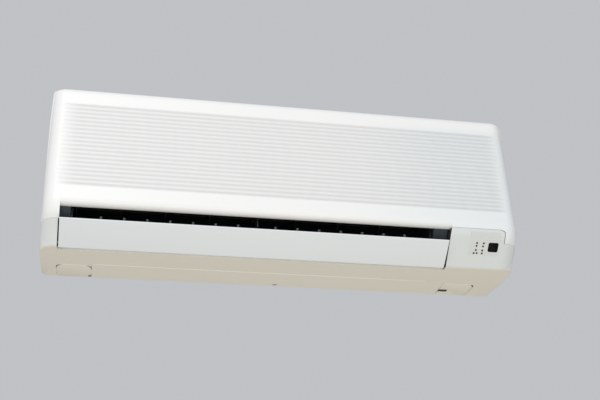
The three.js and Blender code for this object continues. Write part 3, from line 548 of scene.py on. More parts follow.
def painted_groove_shade(m, groove_field_shade=0.925, groove_bottom_shade=0.86):
    """Painted shade: the grooved field is a little greyer than the plain bands, and its groove bottoms greyer still, as
    the grooves shade themselves.
    """
    nt = m.node_tree
    x, y, z = coords(nt)
    f = times(nt, step(nt, z, 98.0, 101.5), step(nt, z, 259.6, 256.2), step(nt, x, -380, -347), step(nt, x, 389, 360))
    tone(m, f, (groove_field_shade, groove_field_shade, groove_field_shade), "MULTIPLY")
    ph = calc(nt, "MULTIPLY", calc(nt, "SUBTRACT", z, 103.5), 2 * math.pi * 19 / (254.2 - 103.5))
    g = calc(nt, "MULTIPLY_ADD", calc(nt, "COSINE", ph), 0.5, 0.5)
    tone(m, times(nt, f, g), (groove_bottom_shade, groove_bottom_shade, groove_bottom_shade), "MULTIPLY")


def dark_inside(m, boxes, colour=(0.016, 0.018, 0.021)):
    """The inside of the duct and of the outlet is dark; boxes are (x0, x1, y0, y1, z0, z1) in mm."""
    nt = m.node_tree
    x, y, z = coords(nt)
    for x0, x1, y0, y1, z0, z1 in boxes:
        f = times(nt, step(nt, x, x0, x0 + 0.2), step(nt, x, x1, x1 - 0.2), step(nt, y, y0, y0 + 0.4), step(nt, y, y1, y1 - 0.4),
                  step(nt, z, z0, z0 + 0.4), step(nt, z, z1, z1 - 0.4))
        tone(m, f, colour)


def painted_underside_light(m, colour=(1.0, 0.955, 0.86)):
    """Painted warm reflected light on the frame's underside, and painted shade on the lowest strip of its chin."""
    nt = m.node_tree
    x, y, z = coords(nt)
    tone(m, times(nt, step(nt, y, -129.6, -127.6), step(nt, z, 10.6, 9.0)), colour, "MULTIPLY")
    tone(m, times(nt, step(nt, z, 7.6, 8.0), step(nt, z, 11.2, 9.0), step(nt, y, -118, -121)), (0.87, 0.87, 0.86), "MULTIPLY")


def painted_chin_end_shade(m, colour=(0.875, 0.912, 0.918)):
    """Painted shade: the frame's front is greyer toward the display end, and a little greyer at its far left end."""
    nt = m.node_tree
    x, y, z = coords(nt)
    low = times(nt, step(nt, y, -126.5, -127.6), step(nt, z, 8.3, 9.3))
    tone(m, times(nt, step(nt, x, 262, 284), low), colour, "MULTIPLY")
    tone(m, times(nt, step(nt, x, -362, -366), low), (0.93, 0.945, 0.965), "MULTIPLY")


def painted_falloff_shade(m, colour=(0.925, 0.955, 0.98)):
    """Painted shade: the panel's colour is a touch cooler and greyer toward the display end, as the light falls off
    there.
    """
    nt = m.node_tree
    x, y, z = coords(nt)
    tone(m, times(nt, step(nt, x, 60, 360), step(nt, z, 272, 256)), colour, "MULTIPLY")


def dark_flank(m, box_mm, colour=(0.016, 0.018, 0.021)):
    """Faces that look into the outlet, within a box in mm, are dark like the rest of its inside."""
    nt = m.node_tree
    x, y, z = coords(nt)
    geo = nt.nodes.new("ShaderNodeNewGeometry")
    sp = nt.nodes.new("ShaderNodeSeparateXYZ")
    links(nt, (geo.outputs["True Normal"], sp.inputs[0]))
    x0, x1, z0, z1 = box_mm
    tone(m, times(nt, step(nt, sp.outputs[0], -0.6, -0.8), step(nt, x, x0, x0 + 0.1), step(nt, x, x1, x1 - 0.1),
                  step(nt, z, z0, z0 + 0.4), step(nt, z, z1, z1 - 0.4)), colour)


# painted shade on the panel's grooved field and in its groove bottoms
painted_groove_shade(M_PANEL)
# painted shade where the light falls off toward the display end
painted_falloff_shade(M_PANEL)
dark_flank(M_FRAME, (276.3, 281.5, 46, 78))
# painted shade at both ends of the frame's front
painted_chin_end_shade(M_FRAME)
# painted warm reflected light on the underside and painted shade low on the chin
painted_underside_light(M_FRAME)
dark_inside(M_FRAME, [(-369.1, -368.2, -172, -105, 8.6, 76), (276.7, 277.7, -172, -105, 8.6, 76),
                      (276.6, 282.0, -158.6, -105, 50.5, 78)])
dark_inside(M_CHASSIS, [(-384, 388, -160, -14.5, 9.4, 192)])


# ------------------------------------------------------------------ shell outlines
def slices(half, off, n=14, extra=()):
    """Slice places along X with how far each is set back and its corner angle."""
    r = R_PLAN + half - W_PANEL / 2 - off
    h = half - off
    right = [(h - r + r * math.sin(math.radians(90 * i / n)), r * (1 - math.cos(math.radians(90 * i / n))), 90 * i / n)
             for i in range(n + 1)]
    mid = [(x, 0.0, 0.0) for x in sorted(extra) if abs(x) < h - r - 0.5]
    return [(-x, d, a) for x, d, a in reversed(right)] + mid + right


GROOVE_P = (RIB_Z1 - RIB_Z0) / (RIBS - 1)
GROOVE_D, GROOVE_W = 1.0, 0.86


def groove(z, k):
    """Depth of the wavy grooving at height z, k from 1 on the face to 0 where it has run out."""
    i = round((z - RIB_Z0) / GROOVE_P)
    if i < 0 or i >= RIBS or k <= 0:
        return 0.0
    w = GROOVE_P / 2 * GROOVE_W * (0.55 + 0.45 * k)
    t = (z - RIB_Z0 - i * GROOVE_P) / w
    return GROOVE_D * k * 0.5 * (1 + math.cos(math.pi * t)) if abs(t) < 1 else 0.0


def face_points(off, k, ribs):
    z0, z1 = 79.2, TOP_C[1] + R_TOP * math.sin(math.radians(ANG_F))
    zs = [z1 - 4 * i for i in range(1, 5)]
    if ribs:
        n = int((RIBS) * 12)
        a, b = RIB_Z1 + GROOVE_P / 2, RIB_Z0 - GROOVE_P / 2
        zs = [z1 - 6] + [a + (b - a) * i / n for i in range(n + 1)]
    zs += [z for z in (96, 93, 89, 85, 82)]
    out = []
    for z in zs:
        d = off + (groove(z, k) if ribs else 0.0)
        out.append((face_y(z) + math.cos(LEAN) * d, z - math.sin(LEAN) * d))
    return out


def envelope(half, off, n=14, ribs=False, extra=()):
    rings = []
    for x, d, a in slices(half, off, n, extra):
        k = 1.0
        if ribs:
            k = max(0.0, min(1.0, (30 - a) / 30)) if a > 0 else 1.0
            k = k * k * (3 - 2 * k)
        pts = [(60, TOP_C[1] + R_TOP - off)]
        top = arc(TOP_C, R_TOP - off, 90, ANG_F, 16)
        body = face_points(off, k, ribs)
        low = jaw(off, 20) + [(CHIN[0] + off * 0.55, CHIN[1] + off)]
        front = [(y + d, z) for y, z in top + body + low]
        rings.append([(x, y, z) for y, z in pts + front + [(60, -6 + off)]])
    return loft(rings, "env")


def panel_outline(off, y_back):
    top = arc(TOP_C, R_TOP - off, 90, ANG_F, 16)
    tail = [(-157.9, 40), (y_back, 40)] if off else [(y_back, PART[1])]
    mid = [] if off else []
    return [(y_back, TOP_C[1] + R_TOP - off)] + top + mid + jaw(off, 20) + [chin_in(PART, off)] + tail


def slot_lean():
    """The outlet's end at the display leans outward toward its top."""
    return py([(SLOT_X[1] - 4, 48.5), (SLOT_X[1] + 0.2, 48.5), (SLOT_X[1] + 3.6, 76.5), (SLOT_X[1] + 3.6, 77.5), (SLOT_X[1] - 4, 77.5)], -200, -157)


# ------------------------------------------------------------------ front panel
def build_panel():
    outer = envelope(W_PANEL / 2, 0, 16, True, (-366, -330, 0, 330, 366))
    # a hair outside the outline, so that only the envelope's own skin shapes the front
    box_out = px([(-122.5, 291), (-180, 291), (-180, SZ + 0.2), (-122.5, SZ + 0.2)], -400, 400)
    sect(outer, box_out)
    core = envelope(W_PANEL / 2, T, 12)
    sect(core, px([(-110, 300), (-180, 300), (-180, 40), (-110, 40)], -400, 400))
    cut(outer, core)
    cut(outer, box(-400, 400, -124, -100, 0, 286), box(-400, 400, -200, -100, 0, SZ + 0.35))
    cc = (face_y(77.5) + 10 * math.cos(LEAN), 77.5 - 10 * math.sin(LEAN))
    slot = px([(-200, 30), (-200, 77.5), (face_y(77.5) - 5, 77.5), (face_y(77.5), 77.5), (cc[0], cc[1]), (-100, cc[1]), (-100, 30)],
              SLOT_X[0], SLOT_X[1])
    cut(outer, slot)
    cut(outer, slot_lean())
    # the rolled lower edge, its lip rounded over
    tip = (cc[0] + 8.75 * math.cos(math.radians(292)), cc[1] + 8.75 * math.sin(math.radians(292)))
    curl = px(arc(cc, 10, ANG_F, 292, 24) + arc(tip, 1.25, 292 + 12, 292 + 168, 8) + arc(cc, 7.5, 292, ANG_F, 24),
              SLOT_X[0] - 0.8, SLOT_X[1] + 4.4)
    uni(outer, curl)
    # display notch with an eased inner corner
    r = 5.0
    notch = [(SLOT_X[1] - 0.01, 30), (SLOT_X[1] - 0.01, NOTCH_Z)] + \
            [(NOTCH_X - r + r * math.sin(math.radians(a)), NOTCH_Z - r + r * math.cos(math.radians(a))) for a in range(0, 91, 10)] + [(NOTCH_X, 30)]
    cut(outer, py(notch, -200, -100))
    for s in (-1, 1):
        lo, hi = (374, 377.6) if s > 0 else (-377.6, -374)
        ear = px([(-131, 279), (-131, 288.5), (-122.8, 288.5), (-122.8, 283.4), (-126, 279.5)], lo, hi)
        sect(ear, envelope(W_PANEL / 2, 0.4, 8))
        uni(outer, ear)
        uni(outer, cyl_x(HINGE, 3.2, lo, hi, 32))
        a, b = (365.4, 375) if s > 0 else (-375, -365.4)
        uni(outer, cyl_x(HINGE, 1.9, a, b, 24))
    tidy(outer, 0.000004, 0.2)
    return finish_piece(outer, "front_panel_skin", M_PANEL, "front_panel", "front_panel", 30)


# ------------------------------------------------------------------ front frame
def chin_box(x0, x1, s0, s1, d0, d1):
    rings = []
    for x in (x0, x1):
        rings.append([(x, PART[0] + CD[0] * s - CN[0] * d, PART[1] + CD[1] * s - CN[1] * d)
                      for s, d in ((s0, d0), (s1, d0), (s1, d1), (s0, d1))])
    return loft(rings)


def chin_plate(outline, d0, d1, n_inset=0, inset=0.0, dome=0.0):
    """Outline of (x, s) on the chin, from depth d0 to d1 (inwards positive)."""
    rings = []
    for d in (d0, d1):
        rings.append([(x, PART[0] + CD[0] * s - CN[0] * d, PART[1] + CD[1] * s - CN[1] * d) for x, s in outline])
    return loft(rings)


def rounded(x0, x1, y0, y1, r, n=6):
    return (arc((x0 + r, y0 + r), r, 180, 270, n) + arc((x1 - r, y0 + r), r, 270, 360, n) +
            arc((x1 - r, y1 - r), r, 0, 90, n) + arc((x0 + r, y1 - r), r, 90, 180, n))


def rr(h, z0, z1, r):
    return (arc((-h + r, z0 + r), r, 180, 270, 12) + arc((h - r, z0 + r), r, 270, 360, 12) +
            arc((h - 6, z1 - 6), 6, 0, 90, 8) + arc((-h + 6, z1 - 6), 6, 90, 180, 8))


DOTS = [(326, 4), (325.8, 9.1), (325.9, 16.6), (322.9, 22.3), (328.2, 22), (338, 3.8), (337.5, 9.3), (337.4, 16.9), (337.4, 22)]
CAP_L, CAP_R = -368.6, 274.6
COVERS = {"left_pipe_cover": (-371, -314, 9), "right_pipe_cover": (297, 355.4, 5)}


def build_frame():
    out = [(-0.8, 0.05), CHIN, SEAM, (-123.6, SZ), (-123.6, 282.2), (-121, 282.6), (-119.6, 284.2),
           (-118.9, 286.5), (-118.7, 290), (-3, 290), (-2.2, 289.8), (-1.4, 289.2), (-0.9, 288.5), (-0.8, 287.8)]
    f = px(out, -XF, XF)
    sect(f, py(rr(XF, 0, 290, 9), -200, 5), envelope(XF, 0, 16))
    inn = [(5, 2.6), (-126.5, 10.3), (-152.9, SZ - 2.5), (-121.1, SZ - 2.5), (-121.1, 60),
           (-121.1, 280), (-116.2, 281.5), (-116.2, 287.5), (5, 287.5)]
    core = px(inn, -XF + T, XF - T)
    sect(core, py(rr(XF - T, 2.5, 287.5, 6.5), -200, 6), envelope(XF, T, 12))
    cut(f, core)
    cut(f, box(-313.7, 296.7, -60.3, 6, -1, 9))
    for x0, x1, r in COVERS.values():
        cut(f, pz([(x0 - 0.4, 8), (x1 + 0.4, 8)] + arc((x1 + 0.4 - r, -53.4 + r), r, 0, -90, 14)
                  + arc((x0 - 0.4 + r, -53.4 + r), r, 270, 180, 14), -2, 10))
    wall = [(-118.7, 287.6), (-118.7, 281.5), (-128.3, 276), (-131, 268), (face_y(245, 8.5), 245),
            (face_y(76, 8.5), 76), (face_y(60, 14), 60), (-150, SZ - 1), (-124.4, SZ - 2), (-121.9, SZ - 2), (-121.9, 250), (-116.2, 281), (-116.2, 287.6)]
    nose = px(wall, -384, 384)
    nin = [(-110, 284), (-118, 279), (-126.4, 274.6), (-128.6, 267), (face_y(244, 11), 244),
           (face_y(78.5, 11), 78.5), (face_y(62, 16.5), 62), (-148.8, 50.2), (-110, 50.2)]
    cut(nose, px(nin, -381.5, 381.5))
    uni(f, nose, px([(-122.5, 278.5), (-122.5, 281.5), (-118.8, 282.5), (-117.5, 279.5)], -381.5, 381.5))
    behind = px([(-120.9, 50.3), (-120.9, 281), (-150, 281), (-150, 50.3)], -381.4, 381.4)
    sect(behind, px(nin, -381.5, 381.5))
    cut(f, behind)
    cut(f, py(rounded(-343, 253, 92, 268, 6), -200, -100))
    opening = px([(-123.2, -3), (-117.4, -3), (-117.4, 20), (-100, 30), (-100, 75), (-180, 75), (-180, -3)], CAP_L, CAP_R)
    cut(f, opening)
    uni(f,
        px([(-117.6, 7.6), CHIN, SEAM, (-156, SZ), (-156, 56), (-120, 76), (-112, 76), (-112, 30), (-115, 12)], CAP_L - 2.4, CAP_L),
        px([(-117.6, 7.6), CHIN, PART, (-162, 62), (-156, 76), (-112, 76), (-112, 30), (-115, 12)], CAP_R, CAP_R + 2.4),
        px([(-117.4, 7.2), (-117.4, 13.5), (-115.2, 13.5), (-115.2, 9.6), (-112, 9.5), (-112, 6.9)], CAP_L - 1, CAP_R + 1),
        px([(face_y(76, 8.5), 76), (face_y(79, 8.5), 79), (face_y(79, 11), 79), (-140, 79.5), (-140, 77)], CAP_L - 1, CAP_R + 1))
    top = (-169.3, NOTCH_Z - 0.6)
    jp = [p for p in jaw(0, 40) if p[1] < NOTCH_Z - 0.9] + [PART]
    prof = [top] + jp + [SEAM, (-156, SZ), (-156, 52), (-160.5, 58), (-163.5, top[1] - 2.5), (-157, top[1] - 2.5), (-157, top[1])]
    tongue = px(prof, CAP_R, 369.4)
    r = 5.6
    mask = [(CAP_R - 1, 40), (CAP_R - 1, 66.2)] + [(369.4 - r + r * math.sin(math.radians(a)), 66.2 - r + r * math.cos(math.radians(a)))
                                                   for a in range(0, 91, 10)] + [(369.4, 40)]
    sect(tongue, py(mask, -200, -100))
    uni(f, tongue)
    cut(f, slot_lean())
    # intake grille in the top
    bars = []
    for i in range(30):
        x = -335 + i * 20
        for y0, y1 in ((-108, -63), (-57, -16)):
            bars.append(pz(rounded(x - 7, x + 7, y0, y1, 2.5, 4), 280, 295))
    for b in bars:
        cut(f, b)
    for s in (-1, 1):
        lo, hi = (364.6, 372.6) if s > 0 else (-372.6, -364.6)
        br = box(lo, hi, -127.5, -118.9, 274.5, 286.2)
        cut(br, cyl_x(HINGE, 2.5, -400, 400, 24))
        uni(f, br)
    cut(f, cyl_x(PIVOT, 2.7, CAP_L - 4, CAP_L + 1, 24), cyl_x(PIVOT, 2.7, CAP_R - 1, CAP_R + 4, 24))
    cut(f, chin_box(298, 370, 2.5, 36, 2.6, 30))
    cut(f, cyl_y(330, 150, 4.1, -160, -140, 32), chin_plate(rounded(346.7, 364.9, 1.8, 19, 3.2), -1, 5))
    for x, q in DOTS:
        cut(f, chin_plate(circ((x, q), 1.80, 20), -1, 5))
    tidy(f, 0.000004, 0.2)
    return finish_piece(f, "front_frame_shell", M_FRAME, "root", "front_frame", 30)


# ------------------------------------------------------------------ flap
FL = math.hypot(FLAP_T[0] - FLAP_B[0], FLAP_T[1] - FLAP_B[1])
FU = ((FLAP_T[0] - FLAP_B[0]) / FL, (FLAP_T[1] - FLAP_B[1]) / FL)
FW = (FU[1], -FU[0])


def FP(s, d):
    return (FLAP_B[0] + FU[0] * s + FW[0] * d, FLAP_B[1] + FU[1] * s + FW[1] * d)


def build_flap():
    # FW points out of the front when negative: check against the pivot side
    front, back = [], []
    n = 40
    for i in range(n + 1):
        t = i / n
        s = 1.2 + (FL - 2.4) * t
        front.append(FP(s, -0.7 * math.sin(math.pi * t) ** 0.9 + 0.10))
        back.append(FP(s, 2.75 - 0.85 * math.sin(math.pi * t) ** 0.6))
    c0, c1 = FP(1.3, 1.42), FP(FL - 1.3, 1.42)

    def cap(c, sgn):
        o = []
        for i in range(1, 8):
            f = math.pi * i / 8
            o.append((c[0] - FW[0] * 1.32 * math.cos(f) + FU[0] * sgn * 1.3 * math.sin(f),
                      c[1] - FW[1] * 1.32 * math.cos(f) + FU[1] * sgn * 1.3 * math.sin(f)))
        return o
    prof = front + cap(c1, 1) + back[::-1] + cap(c0, -1)[::-1]
    f = px(prof, FLAP_X[0], FLAP_X[1])
    ear = [FP(2, 2), FP(16, 1.8), (PIVOT[0] - 4.2, PIVOT[1] + 4.4)] + arc(PIVOT, 3.6, 90, -70, 16)
    for a, b in ((FLAP_X[0], FLAP_X[0] + 3), (FLAP_X[1] - 3, FLAP_X[1])):
        uni(f, px(ear, a, b), cyl_x(PIVOT, 3.6, a, b, 32))
    uni(f, cyl_x(PIVOT, 2.2, -372.5, FLAP_X[0] + 1, 24), cyl_x(PIVOT, 2.2, FLAP_X[1] - 1, 284, 24))
    tidy(f, 0.000004, 0.2)
    return finish_piece(f, "air_flap_blade", M_FLAP, "flap", "air_flap", 30)


# ------------------------------------------------------------------ underside
def build_cover(name):
    x0, x1, r = COVERS[name]
    # rounder than its opening, so the gap widens at the front corners
    q = 13.0 if name.startswith("right") else 16.0
    ql = r if name.startswith("right") else 16.0
    plan = [(x0 + 0.3, -1.2), (x0 + 0.6, -0.9), (x1 - 0.6, -0.9), (x1 - 0.3, -1.2)] + arc((x1 - q, -53 + q), q, 0, -90, 16) + arc((x0 + ql, -53 + ql), ql, 270, 180, 16)
    c = pz(plan, -3, 12)
    n = 24
    low = [(-54 + 54 * i / n, under_z(-54 + 54 * i / n) + 0.05 + 0.0) for i in range(n + 1)]
    sect(c, px(low + [(0, 2.3), (-54, under_z(-54) + 2.3)], x0 - 1, x1 + 1))
    uni(c, box(x0 + 8, x1 - 8, -49, -46.5, 3.4, 11))
    if name.startswith("left"):
        cut(c, box(-318.6, -313, -9, 3, -3, 9))
    else:
        cut(c, pz(rounded(296, 315.6, -25.2, -12.0, 1.8), -3, 9))
    tidy(c, 0.000004, 0.2)
    bevel(c, 0.45, 3, 40)
    return finish_piece(c, name + "_plate", M_COVER, "root", name, 35)


def ribbon(path, w, z0, z1, name):
    """Narrow strip standing in a gap of the underside; path is a list of (x, y)."""
    rings = []
    for i, (x, y) in enumerate(path):
        a, b = path[max(0, i - 1)], path[min(len(path) - 1, i + 1)]
        l = math.hypot(b[0] - a[0], b[1] - a[1])
        nx, ny = -(b[1] - a[1]) / l, (b[0] - a[0]) / l
        k = w / 2 * (0.35 + 0.65 * math.sin(math.pi * min(1, max(0.0, i / (len(path) - 1)))) ** 0.5)
        rings.append([(x - nx * k, y - ny * k, under_z(y - ny * k) + z0), (x + nx * k, y + ny * k, under_z(y + ny * k) + z0),
                      (x + nx * k, y + ny * k, under_z(y + ny * k) + z1), (x - nx * k, y - ny * k, under_z(y - ny * k) + z1)])
    return loft(rings, name)


def build_underside():
    l0, l1, lr = COVERS["left_pipe_cover"]
    r0, r1, rr_ = COVERS["right_pipe_cover"]
    left = [(l0 - 0.25, -36), (l0 - 0.25, -42)] + arc((l0 + lr - 0.2, -53.4 + lr), lr, 180, 262, 14)
    right = arc((l1 - lr + 0.2, -53.4 + lr), lr, 278, 360, 14) + [(l1 + 0.25, -40), (l1 + 0.25, -34)]
    o = ribbon(left, 4.2, 0.75, 1.9, "tmp")
    finish_piece(o, "left_pipe_cover_gap", M_SEAM)
    finish_piece(ribbon(right, 4.2, 0.75, 1.9, "tmp"), "left_pipe_cover_gap_inner", M_SEAM)
    right = arc((r1 - 7.8, -53.4 + 8), 8, 275, 360, 12) + [(r1 + 0.1, -42), (r1 + 0.2, -34), (r1 + 0.25, -20)]
    finish_piece(ribbon(right, 4.2, 0.75, 1.9, "tmp"), "right_pipe_cover_gap", M_SEAM)
    finish_piece(ribbon([(r0 - 0.2, -40), (r0 - 0.2, -30), (r0 - 0.2, -18), (r0 - 0.2, -3)], 1.6, 0.4, 1.4, "tmp"), "right_pipe_cover_gap_inner", M_SEAM)
    # painted shade: dark blocks behind the two finger notches stand in for the shade inside
    finish_piece(box(-320.2, -311.2, -10.5, -1.0, 1.3, 2.6), "left_notch_shade", M_SEAM)
    finish_piece(box(294.2, 317.0, -26.6, -10.6, 2.75, 3.8), "right_notch_shade", M_SEAM)
    # thin raised beads where the mouldings meet, in a lighter white that is a painted highlight
    finish_piece(bead(-312, 262, -60.4, 0.42, 2.3, "tmp", 90.0), "underside_joint_bead", M_BEAD_HIGHLIGHT)
    finish_piece(bead(l0 + 7, l1 - 7, -54.5, 0.3, 1.5, "tmp"), "left_pipe_cover_edge", M_BEAD_HIGHLIGHT)
    finish_piece(bead(r0 + 1, r1 - 5, -54.5, 0.2, 1.2, "tmp"), "right_pipe_cover_edge", M_BEAD_HIGHLIGHT)


def build_film():
    """Clear protective film still on the display end, with openings over the window and the light dots."""
    path = [q for q in jaw(0, 40) if q[1] < 62.5] + [PART, (PART[0] + CD[0] * 25.5, PART[1] + CD[1] * 25.5)]
    outer, inner = [], []
    for i, (y, z) in enumerate(path):
        a, b = path[max(0, i - 1)], path[min(len(path) - 1, i + 1)]
        l = math.hypot(b[0] - a[0], b[1] - a[1])
        ny, nz = (b[1] - a[1]) / l, -(b[0] - a[0]) / l
        outer.append((y + ny * 0.11, z + nz * 0.11))
        inner.append((y - ny * 0.05, z - nz * 0.05))
    o = px(outer + inner[::-1], 312.5, 366.5)
    cut(o, chin_plate(rounded(346.0, 365.6, 1.0, 19.8, 3.4), -1, 2))
    cut(o, *[chin_plate(circ(d, 2.1, 16), -1, 2) for d in DOTS])
    tidy(o, 0.000002, 0.1)
    return finish_piece(o, "display_film", M_FILM)


def build_lights():
    """Light guide: nine short pins through the display end, on one plate behind it."""
    o = chin_plate(rounded(319.5, 341.5, 0.8, 25.6, 1.5), 2.75, 4.0)
    for x, q in DOTS:
        uni(o, chin_plate(circ((x, q), 1.75, 24), 0.02, 3.2))
    tidy(o, 0.000004, 0.2)
    return finish_piece(o, "indicator_light_guide_pins", M_LAMP, "root", "indicator_light_guide", 30)


def build_window():
    o = chin_plate(rounded(346.9, 364.7, 2.0, 18.8, 3.0), 0.25, 2.4)
    bevel(o, 0.5, 3, 50)
    return finish_piece(o, "receiver_window_lens", M_WINDOW, "root", "receiver_window", 40)


def bead(x0, x1, y, lift, w, name, fade=6.0):
    """Long thin raised bead along the underside, its ends run out."""
    rings = []
    n, m = 60, 10
    for i in range(n + 1):
        x = x0 + (x1 - x0) * i / n
        e = min(1.0, (x - x0) / 6.0, (x1 - x) / fade)
        e = math.sin(e * math.pi / 2)
        ring = [(x, y - w / 2, under_z(y - w / 2) + 0.4)]
        for j in range(m + 1):
            t = j / m
            yy = y - w / 2 + w * t
            ring.append((x, yy, under_z(yy) - lift * e * math.sin(math.pi * t) - 0.001))
        ring.append((x, y + w / 2, under_z(y + w / 2) + 0.4))
        rings.append(ring)
    return loft(rings, name)


def carry(node, material):
    """A CAD node keeps its own shape and gets a finish."""
    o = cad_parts[node]
    o.data.materials.clear()
    o.data.materials.append(material)
    return o


def soften(node, width=0.35, seg=2, angle=40):
    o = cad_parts[node]
    m = o.modifiers.new("edge", "BEVEL")
    m.width = width * MM
    m.segments = seg
    m.limit_method = "ANGLE"
    m.angle_limit = math.radians(angle)
    m.use_clamp_overlap = True
    m.harden_normals = False
    return o


build_panel()
build_frame()
build_flap()
for n_ in COVERS:
    build_cover(n_)
build_underside()
build_film()
build_lights()
build_window()

def build_fins(node, c0, c1, rows, pitch=1.55):
    """A bank of thin fins on the coil: c0, c1 are the ends of the slab's centre line in (y, z), rows the
    places of its tubes along that line. The fins' collars hide the tubes between them."""
    ux, uz = c1[0] - c0[0], c1[1] - c0[1]
    l = math.hypot(ux, uz)
    ux, uz = ux / l, uz / l
    nx, nz = -uz, ux
    bm = bmesh.new()
    n = int((COIL_X[1] - COIL_X[0]) / pitch)
    h = 9.85
    for i in range(n + 1):
        x = COIL_X[0] + 0.6 + i * (COIL_X[1] - COIL_X[0] - 1.4) / n
        t = 0.22
        ends = []
        for sx in (0.0, t):
            ends.append([bm.verts.new(((x + sx) * MM, (c0[0] + ux * a + nx * b) * MM, (c0[1] + uz * a + nz * b - Z_REF) * MM))
                         for a, b in ((0.2, -h), (l - 0.2, -h), (l - 0.2, h), (0.2, h))])
        a, b = ends
        bm.faces.new(a[::-1]); bm.faces.new(b)
        for k in range(4):
            bm.faces.new((a[k], a[(k + 1) % 4], b[(k + 1) % 4], b[k]))
    o = to_object(bm, node)
    finish_piece(o, node + "_fins", M_ALU, "root", node, 30)
    collars = []
    for q in rows:
        c = (c0[0] + ux * l * q, c0[1] + uz * l * q)
        collars.append(lathe_x(c, [(COIL_X[0], 0), (COIL_X[0], 4.3), (COIL_X[1], 4.3), (COIL_X[1], 0)], 24))
    t = collars[0]
    for q in collars[1:]:
        join(t, q)
    finish_piece(t, node + "_collars", M_ALU, "root", (), 40)


def join(a, b):
    """Adds b's mesh to a as it is."""
    bm = bmesh.new()
    bm.from_mesh(a.data)
    bm.from_mesh(b.data)
    bm.to_mesh(a.data)
    bm.free()
    me = b.data
    bpy.data.objects.remove(b)
    bpy.data.meshes.remove(me)
    return a


COIL_X = (-337.0, 239.0)


def build_fan():
    """Cross-flow fan: 35 curved blades between ring discs, the two ends closed."""
    x0, x1, R = -345.0, 246.0, FAN_R - 0.15
    bm = bmesh.new()
    nb, seg = 35, 7
    bays = 8
    for i in range(nb):
        a0 = 2 * math.pi * i / nb
        prof = []
        for side in (0, 1):
            pts = []
            for k in range(seg + 1):
                t = k / seg
                r = 31.2 + (R - 0.3 - 31.2) * t
                a = a0 + 0.30 * (1 - t) ** 1.35 + (0.022 if side else -0.0) * (1 - 0.35 * abs(2 * t - 1))
                pts.append((FAN_C[0] + r * math.cos(a), FAN_C[1] + r * math.sin(a)))
            prof += pts if side == 0 else pts[::-1]
        ring = [[bm.verts.new((x * MM, y * MM, (z - Z_REF) * MM)) for y, z in prof] for x in (x0 + 1.5, x1 - 1.5)]
        n = len(prof)
        for k in range(n):
            bm.faces.new((ring[0][k], ring[0][(k + 1) % n], ring[1][(k + 1) % n], ring[1][k]))
        bm.faces.new(ring[0][::-1]); bm.faces.new(ring[1])
    blades = to_object(bm, "blades")
    parts = [lathe_x(FAN_C, [(x0, 0), (x0, R - 0.5), (x0 + 0.5, R), (x0 + 2.0, R), (x0 + 2.5, R - 0.5), (x0 + 2.5, 0)], 96),
             lathe_x(FAN_C, [(x1 - 2.5, 0), (x1 - 2.5, R - 0.5), (x1 - 2.0, R), (x1 - 0.5, R), (x1, R - 0.5), (x1, 0)], 96)]
    for j in range(1, bays):
        x = x0 + (x1 - x0) * j / bays
        parts.append(lathe_x(FAN_C, [(x - 0.9, 30.6), (x - 0.9, R - 0.2), (x + 0.9, R - 0.2), (x + 0.9, 30.6), (x - 0.9, 30.6)], 96))
    for q in parts:
        join(blades, q)
    # bore for the shaft stays closed by the shaft itself
    return finish_piece(blades, "cross_flow_fan_rotor", M_DARK, "fan", "cross_flow_fan", 35)


def build_screw():
    o = lathe_x((0.0, 0.0), [(0.0, 0.0), (0.0, 2.6), (0.25, 3.3), (0.7, 3.55), (1.9, 3.55), (2.05, 1.85), (13.2, 1.85), (13.2, 0.0)], 48)
    # lathe runs along X: stand it upright at its place
    for v in o.data.vertices:
        x, y, z = v.co
        v.co = (2.8 * MM + y, -8.6 * MM + (z + Z_REF * MM), (0.3 - Z_REF) * MM + x)
    cross = [box(2.8 - 2.2, 2.8 + 2.2, -8.6 - 0.35, -8.6 + 0.35, -1, 1.3), box(2.8 - 0.35, 2.8 + 0.35, -8.6 - 2.2, -8.6 + 2.2, -1, 1.3)]
    cut(o, *cross)
    return finish_piece(o, "underside_screw_turned", M_STEEL, "root", "underside_screw", 30)


